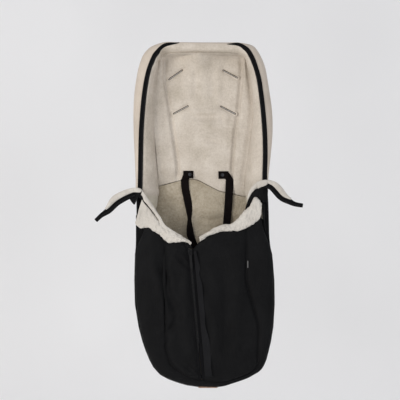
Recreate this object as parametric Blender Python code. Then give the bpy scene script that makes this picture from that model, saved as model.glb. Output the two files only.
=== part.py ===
"""Stroller footmuff, hanging by its head end with its opening forward.

Metres. +Z runs up the length from foot to head, +X is the right side as seen from the front and the front
faces -Y. The flat back lies in the plane Y = 0. Depths below are measured forward from that plane.
"""

import math

import bmesh
import bpy
from mathutils import Vector

# Overall size
LENGTH = 0.940
HALF_WIDTH = 0.193
BACK_DEPTH = 0.0
HEAD_TOP_SHARE = 0.9985

# Cloth, filling and fits
CLOTH = 0.0015
FLEECE = 0.0035
PAD = 0.018
GAP = 0.0004
SEAM_GAP = 0.0006
COVER_PAD = 0.0075

# Side wall
BACK_EDGE_INSET = 0.015
BACK_ROLL_INSET = 0.006
BACK_TURN_INSET = 0.001
RIM_DEPTH = 0.083
SIDE_ZIP_DEPTH = 0.052
SIDE_ZIP_INSET = 0.0035
WALL_LINING_PUFF = 0.005
LINING_DEPTH = 0.0245
CREASE_LAP = 0.004
PAD_PLAY = 0.0012

# Zips
TAPE_WIDTH = 0.0135
SIDE_TAPE_WIDTH = 0.0105
TAPE_THICK = 0.0012
COIL_WIDTH = 0.003
COIL_HEIGHT = 0.002
TOOTH_REACH = 0.0011
TOOTH_PITCH = 0.009
SIDE_TOOTH_PITCH = 0.012
ZIP_MESH_GAP = 0.0006

# Front cover
COVER_EDGE_DEPTH = 0.099
COVER_MID_DEPTH = 0.119
COVER_CORNER_RADIUS = 0.024
COVER_EDGE_FALL = 0.030
FOOT_FALL_HEIGHT = 0.105
CENTRE_SHELL_EDGE = 0.0062
CENTRE_PAD_EDGE = 0.018
CENTRE_LINING_EDGE = 0.008
CENTRE_TAPE_REACH = 0.016
HINGE_FORWARD = 0.0105

# Cuff
CUFF_THICK = 0.008
CUFF_TURN = 0.016
CUFF_RISE = 0.0065

# Harness slots and straps
SLOT_WIDTH = 0.0072
SLOT_LENGTH = 0.045
BINDING = 0.0026
STRAP_THICK = 0.0018
TAB_WIDTH = 0.028
TAB_HEIGHT = 0.021
SNAP_RADIUS = 0.005
SNAP_HEIGHT = 0.0022

# Sliders and pullers
SLIDER_LENGTH = 0.015
SLIDER_WALL = 0.0011
SLIDER_PLAY = 0.0006
BAIL_LENGTH = 0.0098
BAIL_HEIGHT = 0.0034
BAIL_BAR = 0.0016
PULLER_BAR_RADIUS = 0.0008
PULLER_WIDTH = 0.0068
PULLER_THICK = 0.0014
SIDE_PULLER_LENGTH = 0.036
CENTRE_PULLER_LENGTH = 0.048

# Storm flap
FLAP_ROOT_INSET = 0.0100
FLAP_THICK = 0.0014

# Wings
WING_BAND = 0.011
WING_THICK = 0.0014
WING_PLANE = 0.1085

# Tabs
FOOT_TAB_WIDTH = 0.052

# Half-width shares and length shares of the outline seen from the front
LEFT_OUTLINE_SHARES = (
    (0.0, 0.9985), (-0.40, 0.9985), (-0.684, 0.9975), (-0.76, 0.986), (-0.855, 0.966),
    (-0.927, 0.925), (-0.970, 0.872), (-0.992, 0.823), (-0.994, 0.743), (-0.977, 0.656),
    (-0.966, 0.599), (-0.960, 0.482), (-0.974, 0.401), (-0.984, 0.338), (-0.984, 0.278),
    (-0.962, 0.215), (-0.872, 0.134), (-0.740, 0.066), (-0.610, 0.0345), (-0.446, 0.0185),
    (-0.260, 0.0065), (-0.109, 0.0008),
)
RIGHT_OUTLINE_SHARES = (
    (0.083, 0.0), (0.275, 0.0045), (0.420, 0.0140), (0.580, 0.0275), (0.750, 0.0440),
    (0.853, 0.0650), (0.903, 0.0960), (0.953, 0.139), (0.993, 0.197), (1.0, 0.254),
    (0.995, 0.312), (0.975, 0.369), (0.934, 0.427), (0.918, 0.470), (0.913, 0.517),
    (0.903, 0.548), (0.900, 0.572), (0.925, 0.643), (0.968, 0.712), (0.964, 0.806),
    (0.917, 0.870), (0.860, 0.934), (0.741, 0.982), (0.622, 0.9950), (0.35, 0.9985),
)

# Heights of the sections, as shares of the length
HOOD_LEVEL_SHARES = (
    0.564, 0.610, 0.670, 0.735, 0.800, 0.855, 0.895, 0.925, 0.947, 0.964, 0.977, 0.987,
)
BODY_LEVEL_SHARES = (
    0.0055, 0.0125, 0.022, 0.036, 0.058, 0.080, 0.105, 0.135, 0.175, 0.240, 0.310,
    0.385, 0.412, 0.438, 0.465, 0.500, 0.532, 0.564,
)
HEAD_SHARES = (-0.60, -0.345, -0.12, 0.12, 0.32, 0.52)
FOOT_SHARES = (-0.06, 0.08, 0.20)

# Inset of the back crease and of the open zip's middle, by height share
CREASE_INSET_SHARES = (
    (0.0, 0.11), (0.40, 0.13), (0.46, 0.22), (0.54, 0.32), (0.60, 0.332), (0.68, 0.318),
    (0.745, 0.300), (0.806, 0.262), (0.87, 0.236), (0.905, 0.242), (0.93, 0.245), (0.95, 0.228),
    (0.964, 0.205), (0.977, 0.190), (0.987, 0.190), (1.0, 0.172),
)
LEFT_ZIP_SHARES = ((0.50, -0.8925), (0.800, -0.8545))
RIGHT_ZIP_SHARES = ((0.50, 0.8640), (0.800, 0.8140))
HEAD_ZIP_INSET_SHARES = (
    (0.80, 0.140), (0.855, 0.158), (0.895, 0.160), (0.925, 0.165), (0.947, 0.168), (0.964, 0.150),
    (0.977, 0.110), (0.987, 0.066), (1.0, 0.043),
)
ZIP_TURN_SHARES = (0.385, 0.500)

# Inset of the U seam, round the body from the left top by the foot to the right top
SEAM_LEFT_SHARES = (
    (0.0055, 0.140), (0.0125, 0.170), (0.022, 0.205), (0.034, 0.235), (0.048, 0.250), (0.066, 0.270),
    (0.088, 0.290), (0.112, 0.308), (0.140, 0.350), (0.175, 0.385), (0.220, 0.425), (0.275, 0.440),
    (0.330, 0.425), (0.401, 0.432), (0.455, 0.415), (0.564, 0.415),
)
SEAM_FOOT_SHARES = (0.115, 0.100, 0.090)
SEAM_RIGHT_SHARES = (
    (0.0055, 0.075), (0.0125, 0.070), (0.022, 0.062), (0.034, 0.060), (0.048, 0.075), (0.066, 0.105),
    (0.088, 0.138), (0.112, 0.168), (0.140, 0.190), (0.175, 0.213), (0.220, 0.275), (0.275, 0.375),
    (0.300, 0.402), (0.330, 0.398), (0.385, 0.370), (0.425, 0.340), (0.480, 0.325), (0.564, 0.325),
)

# Centre zip line: half-width share, length share
CENTRE_ZIP_TOP_SHARE = (-0.197, 0.404)
CENTRE_ZIP_FOOT_SHARE = (-0.036, 0.039)
CENTRE_ZIP_STOP_SHARE = 0.111

# Neckline of the cover halves: half-width share, length share, from hinge to notch
LEFT_NECK_SHARES = (
    (-0.570, 0.4580), (-0.495, 0.4495), (-0.420, 0.4425), (-0.320, 0.4325), (-0.260, 0.4265),
    (-0.235, 0.4060),
)
RIGHT_NECK_SHARES = (
    (0.612, 0.5030), (0.485, 0.4835), (0.368, 0.4650), (0.250, 0.4630), (0.094, 0.4490),
    (-0.060, 0.4290), (-0.135, 0.4010),
)
LEFT_SEAM_DROP_SHARES = (0.415, 0.457)
RIGHT_SEAM_DROP_SHARES = (0.455, 0.502)

# Cuff edges, as (upper half-width share, upper length share, lower, lower)
LEFT_END_CUFF_SHARES = (
    (-0.840, 0.560, -0.955, 0.478), (-0.785, 0.539, -0.885, 0.462), (-0.730, 0.517, -0.780, 0.4625),
    (-0.653, 0.4870, -0.660, 0.449), (-0.592, 0.4730, -0.592, 0.4385),
)
LEFT_CUFF_SHARES = (
    (-0.545, 0.4650, -0.545, 0.4290), (-0.480, 0.4550, -0.490, 0.4205), (-0.400, 0.4470, -0.400, 0.4205),
    (-0.320, 0.4388, -0.320, 0.4225), (-0.250, 0.4318, -0.262, 0.4225),
)
RIGHT_CUFF_SHARES = (
    (-0.068, 0.4366, -0.060, 0.4248), (0.094, 0.4567, 0.100, 0.4429), (0.250, 0.4708, 0.260, 0.4520),
    (0.368, 0.4728, 0.390, 0.4545), (0.485, 0.4930, 0.500, 0.4556), (0.574, 0.5120, 0.574, 0.4610),
)
RIGHT_END_CUFF_SHARES = (
    (0.598, 0.517, 0.598, 0.4630), (0.665, 0.536, 0.670, 0.4720), (0.711, 0.550, 0.715, 0.4780),
    (0.758, 0.5450, 0.755, 0.4840), (0.800, 0.530, 0.790, 0.4945),
)

# Harness slots: half-width share, length share, tilt as a share of a quarter turn
SLOT_SHARES = (
    ("upper_left", -0.402, 0.9085, 0.387), ("upper_right", 0.376, 0.9110, -0.307),
    ("lower_left", -0.328, 0.8060, 0.311), ("lower_right", 0.344, 0.8050, -0.303),
)

# Quilting seams of the back lining: half-width share, length share
LEFT_QUILT_SHARES = (
    (-0.375, 0.60), (-0.375, 0.65), (-0.435, 0.73), (-0.470, 0.785), (-0.555, 0.893), (-0.555, 0.96),
)
RIGHT_QUILT_SHARES = (
    (0.400, 0.60), (0.403, 0.65), (0.435, 0.72), (0.487, 0.80), (0.534, 0.896), (0.534, 0.96),
)
QUILT_LINE_SHARE = 0.7777
LINING_LEVEL_SHARES = (
    0.600, 0.630, 0.660, 0.695, 0.730, 0.760, 0.7777, 0.800, 0.828, 0.855, 0.895, 0.925, 0.947, 0.964,
    0.977,
)
QUILT_COLUMN_SHARES = (
    (0.0, 0.25, 0.55, 0.85), (0.0, 0.08, 0.34, 0.585, 0.765, 0.93), (0.0, 0.15, 0.45, 0.75, 1.0),
)
CREASE_LINE_SHARES = (
    (-0.64, 0.583), (-0.33, 0.600), (-0.11, 0.602), (0.08, 0.583), (0.22, 0.569), (0.60, 0.551),
)
CREASE_END_SHARES = (CREASE_LINE_SHARES[0], CREASE_LINE_SHARES[-1])
SEAT_LEVEL_SHARES = BODY_LEVEL_SHARES[2:-2]
PANEL_COLUMN_SHARES = (0.0, 0.33, 0.67, 1.0)

# Straps: half-width share, length share, half width over the strap's, turn as a share of a quarter
LEFT_STRAP_SHARES = (
    (-0.272, 0.6030, 1.0, 0.0), (-0.268, 0.580, 1.0, 0.04), (-0.245, 0.555, 1.0, 0.10),
    (-0.222, 0.530, 1.0, 0.20),
    (-0.208, 0.505, 1.0, 0.50), (-0.204, 0.485, 1.0, 0.68), (-0.202, 0.465, 1.0, 0.45),
    (-0.190, 0.440, 1.0, 0.22),
)
RIGHT_STRAP_SHARES = (
    (0.368, 0.6020, 1.0, 0.0), (0.362, 0.580, 1.0, 0.03), (0.356, 0.555, 1.0, 0.05),
    (0.348, 0.530, 1.0, 0.08),
    (0.338, 0.505, 1.0, 0.12), (0.326, 0.480, 1.0, 0.18), (0.316, 0.460, 1.0, 0.20),
    (0.306, 0.440, 1.0, 0.22),
)
TAB_SHARES = {"left": (-0.222, 0.6165), "right": (0.278, 0.6150)}
SNAP_SHARES = {"left": (-0.200, 0.6165), "right": (0.262, 0.6150)}

# Storm flap: length share, reach from the zip line over the half width
FLAP_SHARES = (
    (0.040, 0.160), (0.075, 0.150), (0.110, 0.166), (0.150, 0.158), (0.175, 0.128), (0.195, 0.119),
    (0.211, 0.134), (0.250, 0.128), (0.300, 0.134), (0.325, 0.108), (0.338, 0.096), (0.344, 0.122),
    (0.372, 0.112), (0.398, 0.092),
)

# Wings: middle line from the hinge to the tip, and half widths of band and fleece, as half-width shares
LEFT_WING_SHARES = (
    (-0.938, 0.5617, 0.0948), (-1.035, 0.5560, 0.090), (-1.130, 0.5430, 0.070), (-1.220, 0.5220, 0.055),
    (-1.330, 0.4960, 0.042), (-1.440, 0.4780, 0.038),
)
RIGHT_WING_SHARES = (
    (0.813, 0.5655, 0.1145), (0.930, 0.5690, 0.098), (1.030, 0.5590, 0.075), (1.130, 0.5450, 0.055),
    (1.230, 0.5350, 0.045), (1.320, 0.5290, 0.040),
)


def clear_scene():
    for obj in list(bpy.data.objects):
        bpy.data.objects.remove(obj, do_unlink=True)


def material(name, colour, roughness, metallic=0.0):
    made = bpy.data.materials.new(name)
    made.use_nodes = True
    shader = made.node_tree.nodes["Principled BSDF"]
    shader.inputs["Base Color"].default_value = (*colour, 1.0)
    shader.inputs["Roughness"].default_value = roughness
    shader.inputs["Metallic"].default_value = metallic
    return made


def blend(low, high, share):
    return low + (high - low) * share


def ease(low, high, value):
    share = min(1.0, max(0.0, (value - low) / (high - low)))
    return share * share * (3.0 - 2.0 * share)


def look_up(table, value):
    """Straight-line value of a table of (position, value) rows."""
    if value <= table[0][0]:
        return table[0][1]
    for (start, first), (end, last) in zip(table, table[1:]):
        if value <= end:
            return blend(first, last, (value - start) / (end - start))
    return table[-1][1]


def smooth_line(points, steps, closed=False):
    """Catmull-Rom line through 2-D points."""
    count = len(points)
    line = []
    spans = count if closed else count - 1
    for i in range(spans):
        if closed:
            four = [points[(i + k - 1) % count] for k in range(4)]
        else:
            four = [points[min(max(i + k - 1, 0), count - 1)] for k in range(4)]
        for step in range(steps):
            t = step / steps
            weights = (
                -0.5 * t + t * t - 0.5 * t ** 3,
                1.0 - 2.5 * t * t + 1.5 * t ** 3,
                0.5 * t + 2.0 * t * t - 1.5 * t ** 3,
                -0.5 * t * t + 0.5 * t ** 3,
            )
            line.append(
                tuple(sum(w * p[axis] for w, p in zip(weights, four)) for axis in range(2))
            )
    if not closed:
        line.append(tuple(points[-1]))
    return line


def to_lengths(shares):
    return [(x * HALF_WIDTH, z * LENGTH) for x, z in shares]


def point(x, depth, z):
    return Vector((x, -(BACK_DEPTH + depth), z - HEAD_TOP_SHARE * LENGTH))


# Outline and its stations
OUTLINE = smooth_line(to_lengths(LEFT_OUTLINE_SHARES + RIGHT_OUTLINE_SHARES), 12, closed=True)


class Station:
    """A place on the outline: its point, its inward direction and what the section there needs."""

    def __init__(self, index, share, side):
        count = len(OUTLINE)
        a, b = OUTLINE[index % count], OUTLINE[(index + 1) % count]
        self.x = blend(a[0], b[0], share)
        self.z = blend(a[1], b[1], share)
        before, after = OUTLINE[(index - 4) % count], OUTLINE[(index + 5) % count]
        run = Vector((after[0] - before[0], after[1] - before[1])).normalized()
        self.inward = Vector((-run.y, run.x))
        if abs(self.inward.x) > 0.955:
            self.inward = Vector((math.copysign(1.0, self.inward.x), 0.0))
        self.side = side
        self.height = self.z / LENGTH

    def at(self, inset, depth):
        return point(self.x + self.inward.x * inset, depth, self.z + self.inward.y * inset)


def crossings(value, axis):
    found = []
    count = len(OUTLINE)
    for i in range(count):
        a, b = OUTLINE[i][axis], OUTLINE[(i + 1) % count][axis]
        if (a - value) * (b - value) <= 0.0 and a != b:
            found.append((i, (value - a) / (b - a)))
    return found


def level_station(height, side):
    places = [Station(i, s, side) for i, s in crossings(height * LENGTH, 1)]
    return min(places, key=lambda p: p.x) if side == "left" else max(places, key=lambda p: p.x)


def end_station(share, side):
    places = [Station(i, s, side) for i, s in crossings(share * HALF_WIDTH, 0)]
    return max(places, key=lambda p: p.z) if side == "head" else min(places, key=lambda p: p.z)


HOOD_LEFT = [level_station(h, "left") for h in HOOD_LEVEL_SHARES]
HOOD_RIGHT = [level_station(h, "right") for h in HOOD_LEVEL_SHARES]
HEAD = [end_station(s, "head") for s in HEAD_SHARES]
BODY_LEFT = [level_station(h, "left") for h in BODY_LEVEL_SHARES]
BODY_RIGHT = [level_station(h, "right") for h in BODY_LEVEL_SHARES]
FOOT = [end_station(s, "foot") for s in FOOT_SHARES]
HOOD_PATH = HOOD_LEFT + HEAD + HOOD_RIGHT[::-1]
BODY_PATH = BODY_LEFT[::-1] + FOOT + BODY_RIGHT


HEAD_ZIP_LEAST_SHARE = 0.987


def zip_middle_inset(station):
    """Inset of the open zip's middle from the outline."""
    if station.side in ("head", "foot") or station.height > HEAD_ZIP_INSET_SHARES[0][0]:
        least = HEAD_ZIP_LEAST_SHARE if station.side == "head" else station.height
        return look_up(HEAD_ZIP_INSET_SHARES, max(station.height, least)) * HALF_WIDTH
    table = LEFT_ZIP_SHARES if station.side == "left" else RIGHT_ZIP_SHARES
    (low, first), (high, last) = table
    middle = blend(first, last, (station.height - low) / (high - low)) * HALF_WIDTH
    return (middle - station.x) / station.inward.x


def back_zip_edges(station):
    """(inset, depth) of the sewn edge and of the toothed edge of the back section's zip tape."""
    turn = ease(*ZIP_TURN_SHARES, station.height)
    if station.side == "foot":
        turn = 0.0
    closed_sewn = (SIDE_ZIP_INSET, SIDE_ZIP_DEPTH)
    closed_edge = (SIDE_ZIP_INSET, SIDE_ZIP_DEPTH + SIDE_TAPE_WIDTH)
    if turn == 0.0:
        return closed_sewn, closed_edge
    middle = zip_middle_inset(station)
    sewn = (middle - TAPE_WIDTH / 2, RIM_DEPTH)
    edge = (middle + TAPE_WIDTH / 2, RIM_DEPTH)
    return (
        tuple(blend(a, b, turn) for a, b in zip(closed_sewn, sewn)),
        tuple(blend(a, b, turn) for a, b in zip(closed_edge, edge)),
    )


def wall_outer(station):
    """Outer face of the side wall, from the flat back to the zip's sewn edge."""
    (rim_inset, rim_depth), _ = back_zip_edges(station)
    rim_depth -= TAPE_THICK / 2 + GAP
    return [
        (BACK_EDGE_INSET, BACK_DEPTH),
        (BACK_ROLL_INSET, 0.055 * rim_depth),
        (BACK_TURN_INSET, 0.17 * rim_depth),
        (0.0, 0.37 * rim_depth),
        (0.08 * rim_inset, 0.62 * rim_depth),
        (0.40 * rim_inset, 0.87 * rim_depth),
        (rim_inset - GAP, rim_depth),
    ]


def crease_inset(station):
    height = 1.0 if station.side == "head" else 0.0 if station.side == "foot" else station.height
    return look_up(CREASE_INSET_SHARES, height) * HALF_WIDTH


def wall_inner(station):
    """Face of the side wall's lining, from the crease at the back up to the zip's toothed edge."""
    _, (edge_inset, edge_depth) = back_zip_edges(station)
    turn = 0.0 if station.side == "foot" else ease(*ZIP_TURN_SHARES, station.height)
    rim = (edge_inset + blend(FLEECE * 2.4, FLEECE * 1.1, turn), edge_depth + blend(0.0, GAP * 2, turn))
    foot = (crease_inset(station) + GAP, LINING_DEPTH + FLEECE * 0.75)
    line = []
    for k in range(7):
        share = k / 6
        puff = WALL_LINING_PUFF * math.sin(math.pi * share)
        line.append(
            (blend(foot[0], rim[0], share) + puff * 0.9, blend(foot[1], rim[1], share) + puff * 0.5)
        )
    return line


def shifted(line, distance):
    """A 2-D line moved sideways, to the left of its run when the distance is positive."""
    moved = []
    for i, (a, b) in enumerate(line):
        before = line[max(i - 1, 0)]
        after = line[min(i + 1, len(line) - 1)]
        run = Vector((after[0] - before[0], after[1] - before[1])).normalized()
        moved.append((a - run.y * distance, b + run.x * distance))
    return moved


def add_object(name, bm, look, smooth=True):
    bmesh.ops.recalc_face_normals(bm, faces=bm.faces[:])
    if bm.calc_volume(signed=True) < 0.0:
        bmesh.ops.reverse_faces(bm, faces=bm.faces[:])
    for face in bm.faces:
        face.smooth = smooth
    mesh = bpy.data.meshes.new(name)
    bm.to_mesh(mesh)
    bm.free()
    obj = bpy.data.objects.new(name, mesh)
    bpy.context.scene.collection.objects.link(obj)
    mesh.materials.append(look)
    return obj


def slab(name, front, back, look, smooth=True):
    """A cloth or pad: a sheet of quads over the front points, extruded onto the back points."""
    bm = bmesh.new()
    spot = bm.verts.layers.int.new("spot")
    goals = [place for row in back for place in row]
    grid = []
    for row in front:
        grid.append([])
        for place in row:
            vert = bm.verts.new(place)
            vert[spot] = sum(len(r) for r in grid[:-1]) + len(grid[-1])
            grid[-1].append(vert)
    for lower, upper in zip(grid, grid[1:]):
        for j in range(len(lower) - 1):
            bm.faces.new((lower[j], lower[j + 1], upper[j + 1], upper[j]))
    grown = bmesh.ops.extrude_face_region(bm, geom=bm.faces[:])
    for item in grown["geom"]:
        if isinstance(item, bmesh.types.BMVert):
            item.co = goals[item[spot]]
    return add_object(name, bm, look, smooth)


def strip(name, stations, outer, inner, look):
    """A cloth or pad swept along stations between two lines of each section."""
    front = [[s.at(*place) for place in outer(s)] for s in stations]
    back = [[s.at(*place) for place in inner(s)] for s in stations]
    return slab(name, front, back, look)


def cut(target, cutter):
    """Takes the cutter out of the target."""
    step = target.modifiers.new("cut", "BOOLEAN")
    step.operation = "DIFFERENCE"
    step.solver = "EXACT"
    step.object = cutter
    cutter.hide_render = True
    cutter.display_type = "WIRE"


def join(target, other):
    """Makes one solid of the target and another object."""
    step = target.modifiers.new("join", "BOOLEAN")
    step.operation = "UNION"
    step.solver = "EXACT"
    step.object = other
    other.hide_render = True
    other.display_type = "WIRE"


clear_scene()
black_cloth = material("black_cloth", (0.018, 0.018, 0.020), 0.85)
cream_fleece = material("cream_fleece", (0.60, 0.53, 0.43), 0.95)
seat_fleece = material("seat_fleece", (0.45, 0.38, 0.29), 0.95)
white_sherpa = material("white_sherpa", (0.78, 0.73, 0.67), 0.95)
filling = material("filling", (0.80, 0.80, 0.78), 0.95)
zip_cloth = material("zip_cloth", (0.012, 0.012, 0.013), 0.8)
zip_teeth = material("zip_teeth", (0.025, 0.025, 0.028), 0.4)
webbing = material("webbing", (0.020, 0.015, 0.014), 0.7)
dark_metal = material("dark_metal", (0.20, 0.20, 0.21), 0.35, 1.0)
tan_leather = material("tan_leather", (0.50, 0.30, 0.20), 0.6)
bare_tab = material("bare_tab", (0.80, 0.79, 0.77), 0.8)


def zip_frame(station):
    """Sewn edge, toothed edge, direction across the tape and outward direction, as (inset, depth)."""
    sewn, edge = back_zip_edges(station)
    run = Vector((edge[0] - sewn[0], edge[1] - sewn[1])).normalized()
    return Vector(sewn), Vector(edge), run, Vector((-run.y, run.x))


def wadding_outer(station):
    line = shifted(wall_outer(station), -(CLOTH + GAP))
    return [(inset, max(depth, CLOTH + GAP)) for inset, depth in line]


def wadding_inner(station):
    """Inner side of the wall's filling: up the edge of the back pad, then behind the wall's lining."""
    _, edge, run, out = zip_frame(station)
    pad_edge = crease_inset(station) - CREASE_LAP - GAP
    line = shifted(wall_inner(station), FLEECE + GAP)
    last = edge - out * (TAPE_THICK / 2 + 4 * GAP) - run * GAP
    return [(pad_edge, CLOTH + GAP), (pad_edge, LINING_DEPTH - FLEECE)] + line[2:6] + [tuple(last)]


# Side walls
strip(
    "hood_wall_shell", HOOD_PATH, wall_outer, lambda s: shifted(wall_outer(s), -CLOTH), cream_fleece
)
strip("hood_wall_wadding", HOOD_PATH, wadding_outer, wadding_inner, filling)
strip(
    "hood_wall_lining", HOOD_PATH, wall_inner, lambda s: shifted(wall_inner(s), FLEECE), cream_fleece
)


def below(station, drop=SEAM_GAP):
    """The station at the joint between hood and body walls, moved down so that the two leave a gap."""
    station.z -= drop
    return station


JOINT_LEFT = below(level_station(BODY_LEVEL_SHARES[-1], "left"))
JOINT_RIGHT = below(level_station(BODY_LEVEL_SHARES[-1], "right"))
BODY_WALL_PATH = [JOINT_LEFT] + BODY_PATH[1:-1] + [JOINT_RIGHT]
strip(
    "body_wall_shell",
    BODY_WALL_PATH,
    wall_outer,
    lambda s: shifted(wall_outer(s), -CLOTH),
    black_cloth,
)
strip("body_wall_wadding", BODY_WALL_PATH, wadding_outer, wadding_inner, filling)
strip(
    "body_wall_lining",
    BODY_WALL_PATH,
    wall_inner,
    lambda s: shifted(wall_inner(s), FLEECE),
    seat_fleece,
)


# Back panel and pads
LEVELS_LEFT = BODY_LEFT + HOOD_LEFT[1:]
LEVELS_RIGHT = BODY_RIGHT + HOOD_RIGHT[1:]


def inset_place(station, inset):
    return Vector((station.x + station.inward.x * inset, station.z + station.inward.y * inset))


def along_places(places, share):
    """Point at a share of the length of a line of places."""
    lengths = [(b - a).length for a, b in zip(places, places[1:])]
    goal = share * sum(lengths)
    for a, b, length in zip(places, places[1:], lengths):
        if goal <= length:
            return a.lerp(b, goal / length)
        goal -= length
    return places[-1].copy()


def edge_at_height(stations, height, inset):
    """Point of an inset edge at a height share, on the straight line between its stations."""
    for low, high in zip(stations, stations[1:]):
        if height <= high.height:
            share = (height - low.height) / (high.height - low.height)
            return inset_place(low, inset(low)).lerp(inset_place(high, inset(high)), share)
    return inset_place(stations[-1], inset(stations[-1]))


def foot_row(inset, columns):
    places = [LEVELS_LEFT[0]] + FOOT + [LEVELS_RIGHT[0]]
    return [along_places([inset_place(s, inset(s)) for s in places], c) for c in columns]


def head_row(inset, columns):
    places = [LEVELS_LEFT[-1]] + HEAD + [LEVELS_RIGHT[-1]]
    return [along_places([inset_place(s, inset(s)) for s in places], c) for c in columns]


def level_row(index, inset, columns):
    left = inset_place(LEVELS_LEFT[index], inset(LEVELS_LEFT[index]))
    right = inset_place(LEVELS_RIGHT[index], inset(LEVELS_RIGHT[index]))
    return [left.lerp(right, c) for c in columns]


def panel(name, inset, low, high, look):
    """A pad of even depth between two depths, over the whole back."""
    rows = [foot_row(inset, PANEL_COLUMN_SHARES)]
    rows += [level_row(i, inset, PANEL_COLUMN_SHARES) for i in range(1, len(LEVELS_LEFT) - 1)]
    rows.append(head_row(inset, PANEL_COLUMN_SHARES))
    front = [[point(p.x, high, p.y) for p in row] for row in rows]
    back = [[point(p.x, low, p.y) for p in row] for row in rows]
    return slab(name, front, back, look, smooth=False)


def pad_inset(station):
    return crease_inset(station) - CREASE_LAP + PAD_PLAY


back_panel = panel(
    "back_panel", lambda s: BACK_EDGE_INSET + CLOTH, BACK_DEPTH, BACK_DEPTH + CLOTH, black_cloth
)
back_wadding = panel(
    "back_wadding", pad_inset, CLOTH + GAP, LINING_DEPTH - FLEECE - GAP, filling
)


def quilted_row(left, right, height, top_share=1.0):
    """Columns of the back lining at one height: (place, puff share)."""
    z = blend(left.y, right.y, 0.5)
    tables = ([(h, x) for x, h in t] for t in (LEFT_QUILT_SHARES, RIGHT_QUILT_SHARES))
    seams = [look_up(table, height) * HALF_WIDTH for table in tables]
    flat = CREASE_LAP + FLEECE * 1.3
    marks = (left.x + flat, seams[0], seams[1], right.x - flat)
    row = [(left.copy(), 0.0)]
    for a, b, steps in zip(marks, marks[1:], QUILT_COLUMN_SHARES):
        for step in steps:
            x = blend(a, b, step)
            share = (x - left.x) / (right.x - left.x)
            puff = max(math.sin(math.pi * step), 0.0) ** 0.6
            row.append((Vector((x, blend(left.y, right.y, share))), puff))
    return row + [(right.copy(), 0.0)]


PUFF = 0.0055
CREASE_ROW_SHARES = (0.165, 0.36, 0.62)
crease_left = edge_at_height(LEVELS_LEFT, CREASE_LINE_SHARES[0][1], pad_inset)
crease_right = edge_at_height(LEVELS_RIGHT, CREASE_LINE_SHARES[-1][1], pad_inset)


def crease_height(x):
    return look_up(CREASE_LINE_SHARES, x / HALF_WIDTH) * LENGTH


lining_front = []
first = quilted_row(crease_left, crease_right, LINING_LEVEL_SHARES[0])
lining_front.append([point(p.x, LINING_DEPTH, crease_height(p.x) + GAP) for p, _ in first])
for share in CREASE_ROW_SHARES:
    ends = [blend(line[1], LINING_LEVEL_SHARES[1], share) for line in CREASE_END_SHARES]
    left = edge_at_height(LEVELS_LEFT, ends[0], pad_inset)
    right = edge_at_height(LEVELS_RIGHT, ends[1], pad_inset)
    row = []
    for place, puff in quilted_row(left, right, LINING_LEVEL_SHARES[0]):
        z = blend(crease_height(place.x), LINING_LEVEL_SHARES[1] * LENGTH, share)
        row.append(point(place.x, LINING_DEPTH + PUFF * puff * share, z))
    lining_front.append(row)
for height in LINING_LEVEL_SHARES:
    if height <= 0.61:
        continue
    left = edge_at_height(LEVELS_LEFT, height, pad_inset)
    right = edge_at_height(LEVELS_RIGHT, height, pad_inset)
    near_line = math.exp(-(((height - QUILT_LINE_SHARE) / 0.012) ** 2))
    ends = min(1.0, (0.985 - height) / 0.03)
    row = []
    for place, puff in quilted_row(left, right, height):
        middle = abs(place.x) < 0.27 * HALF_WIDTH
        share = puff * ends * (1.0 - 0.8 * near_line if middle else 1.0)
        row.append(point(place.x, LINING_DEPTH + PUFF * max(share, 0.0), place.y))
    lining_front.append(row)
columns = len(lining_front[0])
top = head_row(pad_inset, [j / (columns - 1) for j in range(columns)])
lining_front.append([point(p.x, LINING_DEPTH, p.y) for p in top])
lining_back = [[Vector((p.x, -(LINING_DEPTH - FLEECE), p.z)) for p in row] for row in lining_front]
back_lining = slab("back_lining", lining_front, lining_back, cream_fleece)

# Seat lining
SEAT_PUFF = 0.006
SEAT_TOP_SHARES = (0.386, 0.63, 1.0)


crease_width = crease_right.x - crease_left.x
kinks = [(x * HALF_WIDTH - crease_left.x) / crease_width for x, _ in CREASE_LINE_SHARES[1:-1]]
SEAT_COLUMN_SHARES = sorted([0.0, 0.065, 0.14] + kinks + [0.79, 0.865, 0.935, 1.0])


def seat_row(left, right, puff_share):
    row = []
    for across in SEAT_COLUMN_SHARES:
        place = left.lerp(right, across)
        edge = min(1.0, (place.x - left.x) / PAD, (right.x - place.x) / PAD)
        puff = SEAT_PUFF * max(math.sin(math.pi * across), 0.0) ** 0.5 * max(edge - 0.42, 0.0) / 0.58
        row.append(point(place.x, LINING_DEPTH + puff * puff_share, place.y))
    return row


first = seat_row(
    inset_place(LEVELS_LEFT[1], pad_inset(LEVELS_LEFT[1])),
    inset_place(LEVELS_RIGHT[1], pad_inset(LEVELS_RIGHT[1])),
    0.0,
)
seat_front = [first]
for height in SEAT_LEVEL_SHARES:
    left = edge_at_height(LEVELS_LEFT, height, pad_inset)
    right = edge_at_height(LEVELS_RIGHT, height, pad_inset)
    seat_front.append(seat_row(left, right, min(1.0, height / 0.08)))
for share in SEAT_TOP_SHARES:
    ends = [blend(SEAT_LEVEL_SHARES[-1], line[1], share) for line in CREASE_END_SHARES]
    left = edge_at_height(LEVELS_LEFT, ends[0], pad_inset)
    right = edge_at_height(LEVELS_RIGHT, ends[1], pad_inset)
    low_z = SEAT_LEVEL_SHARES[-1] * LENGTH
    row = []
    for place in seat_row(left, right, 1.0 - share * share):
        goal = crease_height(place.x) - SEAM_GAP
        row.append(point(place.x, -place.y, blend(low_z, goal, share)))
    seat_front.append(row)
seat_back = [[Vector((p.x, -(LINING_DEPTH - FLEECE), p.z)) for p in row] for row in seat_front]
slab("seat_lining", seat_front, seat_back, seat_fleece)


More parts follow.
